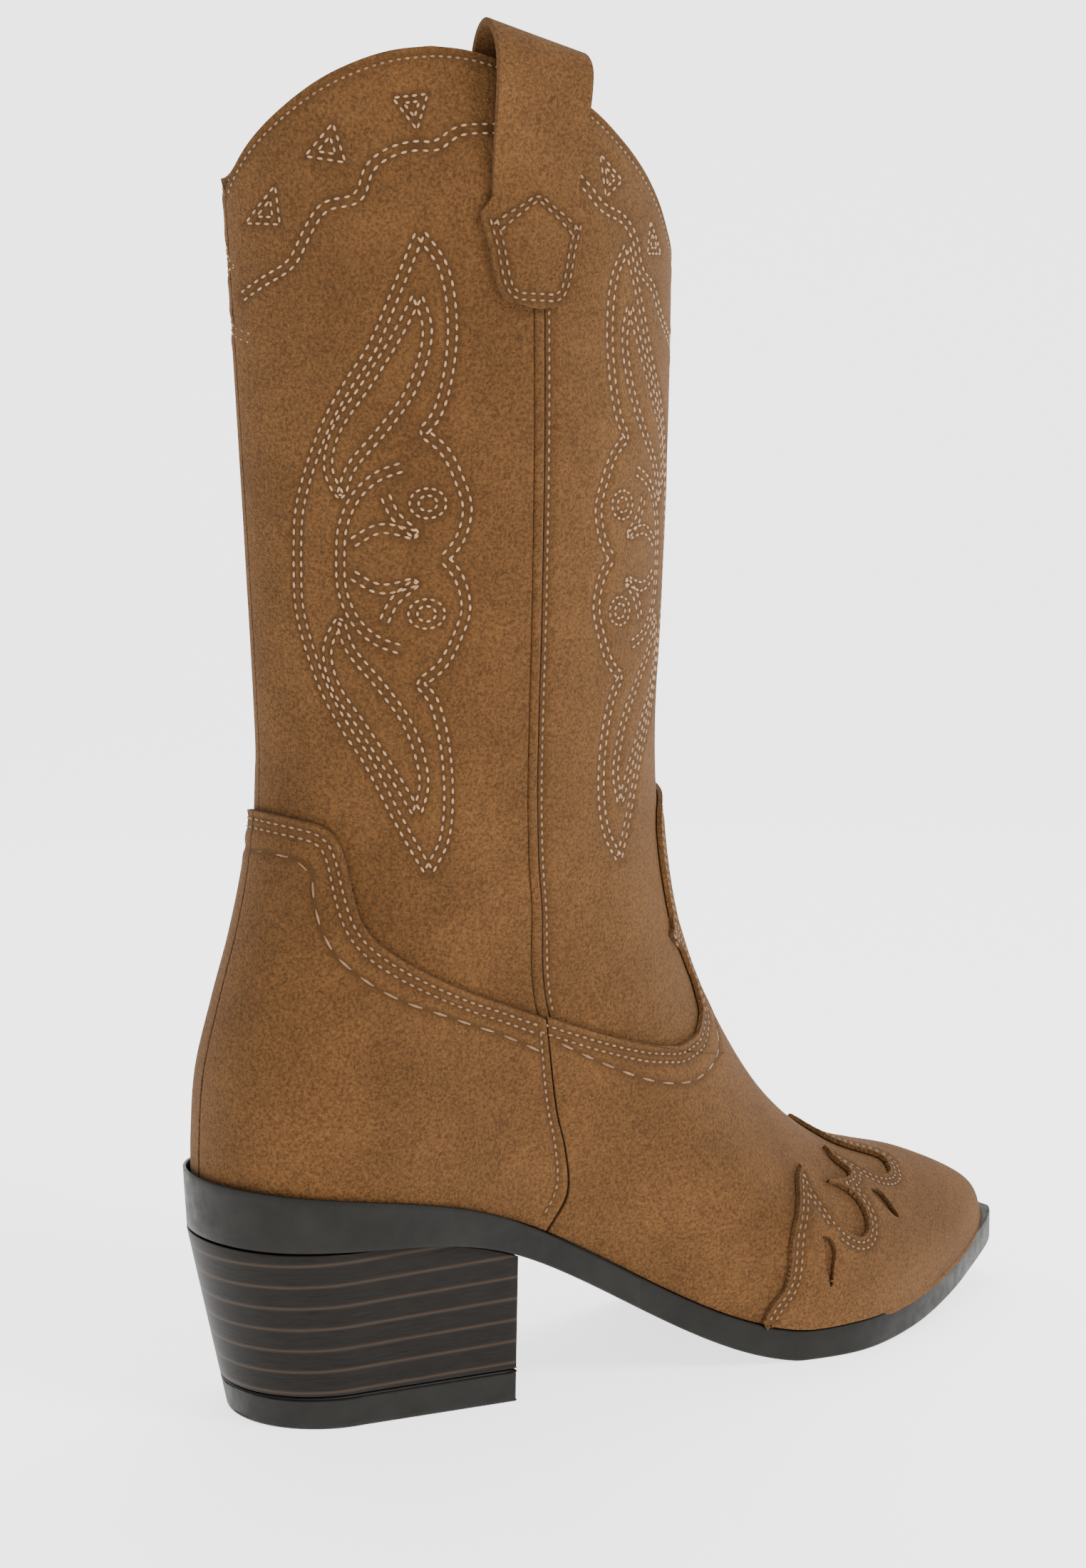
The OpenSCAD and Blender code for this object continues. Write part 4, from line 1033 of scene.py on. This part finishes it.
# Heel: a stack of brown leather lifts pinned under the seat, sloping in at the back and flat at the breast,
# over a plain dark top-lift that takes the wear.
LIFT = 0.0031
stacked, tree, shader, place = new_material("stacked_leather")
split = tree.nodes.new("ShaderNodeSeparateXYZ")
tree.links.new(place, split.inputs[0])
lift_up = arithmetic(tree, "MULTIPLY_ADD", split.outputs["X"], -0.012, split.outputs["Z"])
bands = arithmetic(tree, "PINGPONG", lift_up, LIFT)
band_share = arithmetic(tree, "DIVIDE", bands, LIFT)
stretch = tree.nodes.new("ShaderNodeMapping")
stretch.inputs["Scale"].default_value = (1, 1, 14)
tree.links.new(place, stretch.inputs["Vector"])
grain = noise(tree, stretch.outputs["Vector"], 120, 5.0, 0.7)
tone = colour_ramp(tree, grain, [(0.3, (0.005, 0.0042, 0.0032)), (0.7, (0.013, 0.0105, 0.008))])
joint = colour_ramp(tree, band_share,
                    [(0.0, (0.04, 0.025, 0.015)), (0.12, (0.016, 0.010, 0.007)), (0.24, (0, 0, 0))])
tone = blend_colours(tree, "ADD", 0.8, tone, joint)
tree.links.new(tone, shader.inputs["Base Color"])
shader.inputs["Roughness"].default_value = 0.5
shader.inputs["Specular IOR Level"].default_value = 0.1
bump(tree, shader, grain, 0.00015, 0.6)
HEEL_BACK = -SOLE_LENGTH / 2
HEEL_SIDES, HEEL_ROUND_SIDES = 96, 60


def heel_piece(name, low, high, material, node, slot, soften):
    """The heel's own outline between two heights, closed at both ends, its top following the seat."""
    mesh = bmesh.new()
    levels = 14
    rows = [bmesh.ops.create_circle(mesh, cap_ends=False, radius=1, segments=HEEL_SIDES)["verts"]]
    for _ in range(levels):
        pushed = bmesh.ops.extrude_edge_only(mesh, edges=[line for line in mesh.edges
                                                          if all(end in rows[-1] for end in line.verts)])
        rows.append([part for part in pushed["geom"] if isinstance(part, bmesh.types.BMVert)])
    for level, row in enumerate(rows):
        row = sorted(row, key=lambda corner: math.atan2(corner.co.y, corner.co.x))
        for number, corner in enumerate(row):
            full = HEEL_HEIGHT - SOLE_EDGE
            top = full if high is None else high
            point = heel_point(number / HEEL_SIDES, mix(low, top, level / levels) / full)
            if high is None:
                top = float(sole_top(point[0])) - SOLE_EDGE - CEMENT
            corner.co = (*point, mix(low, top, level / levels))
    bmesh.ops.holes_fill(mesh, edges=[line for line in mesh.edges if line.is_boundary], sides=0)
    bmesh.ops.recalc_face_normals(mesh, faces=mesh.faces)
    caps = [face for face in mesh.faces if len(face.verts) > 4]
    round_off(mesh, [line for face in caps for line in face.edges], soften, 3)
    uprights = [line for line in mesh.edges if len(line.link_faces) == 2 and line.calc_face_angle() > 0.9
                and abs(line.verts[0].co.z - line.verts[1].co.z) > 0.5]
    if uprights:
        round_off(mesh, uprights, 0.8, 2)
    for corner in mesh.verts:
        corner.co = to_frame(corner.co)
    fit(finished(name, mesh), material, node, slot=slot)


def heel_point(way, share):
    """A point of the outline, round the back first and then along the breast, at a share of the height."""
    radius = mix(27, 33, share)
    back = HEEL_BACK + 11 * (1 - share) + 0.5
    half = mix(63, 66, share) / 2
    front = HEEL_BACK + HEEL_LENGTH
    round_share = HEEL_ROUND_SIDES / HEEL_SIDES
    if way < round_share:
        turn = math.radians(270 - 180 * (way / round_share))
        return back + radius + radius * math.cos(turn), radius * math.sin(turn)
    way = (way - round_share) / (1 - round_share)
    path = [(back + radius, radius), (front, half), (front, -half), (back + radius, -radius)]
    part = min(int(way * 3), 2)
    t = way * 3 - part
    return tuple(mix(np.array(path[part]), np.array(path[part + 1]), t))


TOP_LIFT_T = 9.5
heel_piece("heel_stack", TOP_LIFT_T + CEMENT, None, stacked, "heel_block", "heel_stack", 0.3)
heel_piece("top_lift_piece", 0, TOP_LIFT_T, sole_dark, "top_lift", "top_lift", 0.7)

# Hidden pieces keep their own shapes: insole board, cork filler, heel pad, sock liner, steel shank, screw and
# nails, the linings of the foot and the two stiffeners moulded between lining and suede.
hidden = {"insole_board": ((0.34, 0.24, 0.15), (0.27, 0.18, 0.11), 0.8),
          "sole_filler": ((0.36, 0.22, 0.12), (0.16, 0.09, 0.045), 0.9),
          "heel_pad": ((0.75, 0.70, 0.45), (0.66, 0.60, 0.38), 0.85),
          "sock_liner": ((0.42, 0.27, 0.15), (0.34, 0.21, 0.11), 0.6),
          "toe_puff": ((0.55, 0.52, 0.46), (0.45, 0.42, 0.37), 0.8),
          "heel_stiffener": ((0.50, 0.44, 0.36), (0.42, 0.36, 0.29), 0.8)}


def coat(material, *node_names):
    for node_name in node_names:
        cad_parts[node_name].data.materials.clear()
        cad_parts[node_name].data.materials.append(material)


for node_name, (light, deep, rough) in hidden.items():
    material, tree, shader, place = new_material(f"{node_name}_finish")
    specks = noise(tree, place, 500, 4.0, 0.7)
    tree.links.new(colour_ramp(tree, specks, [(0.35, deep), (0.65, light)]), shader.inputs["Base Color"])
    shader.inputs["Roughness"].default_value = rough
    bump(tree, shader, specks, 0.0002, 0.5)
    coat(material, node_name)
steel, tree, shader, place = new_material("bright_steel")
patches = noise(tree, place, 300, 3.0)
tree.links.new(colour_ramp(tree, patches, [(0.3, (0.42, 0.42, 0.43)), (0.7, (0.56, 0.56, 0.57))]),
          shader.inputs["Base Color"])
shader.inputs["Metallic"].default_value = 1
shader.inputs["Roughness"].default_value = 0.35
coat(steel, "shank", "heel_screw", "heel_nails", "top_lift_nails")
coat(tan_lining, "vamp_lining", "heel_lining")
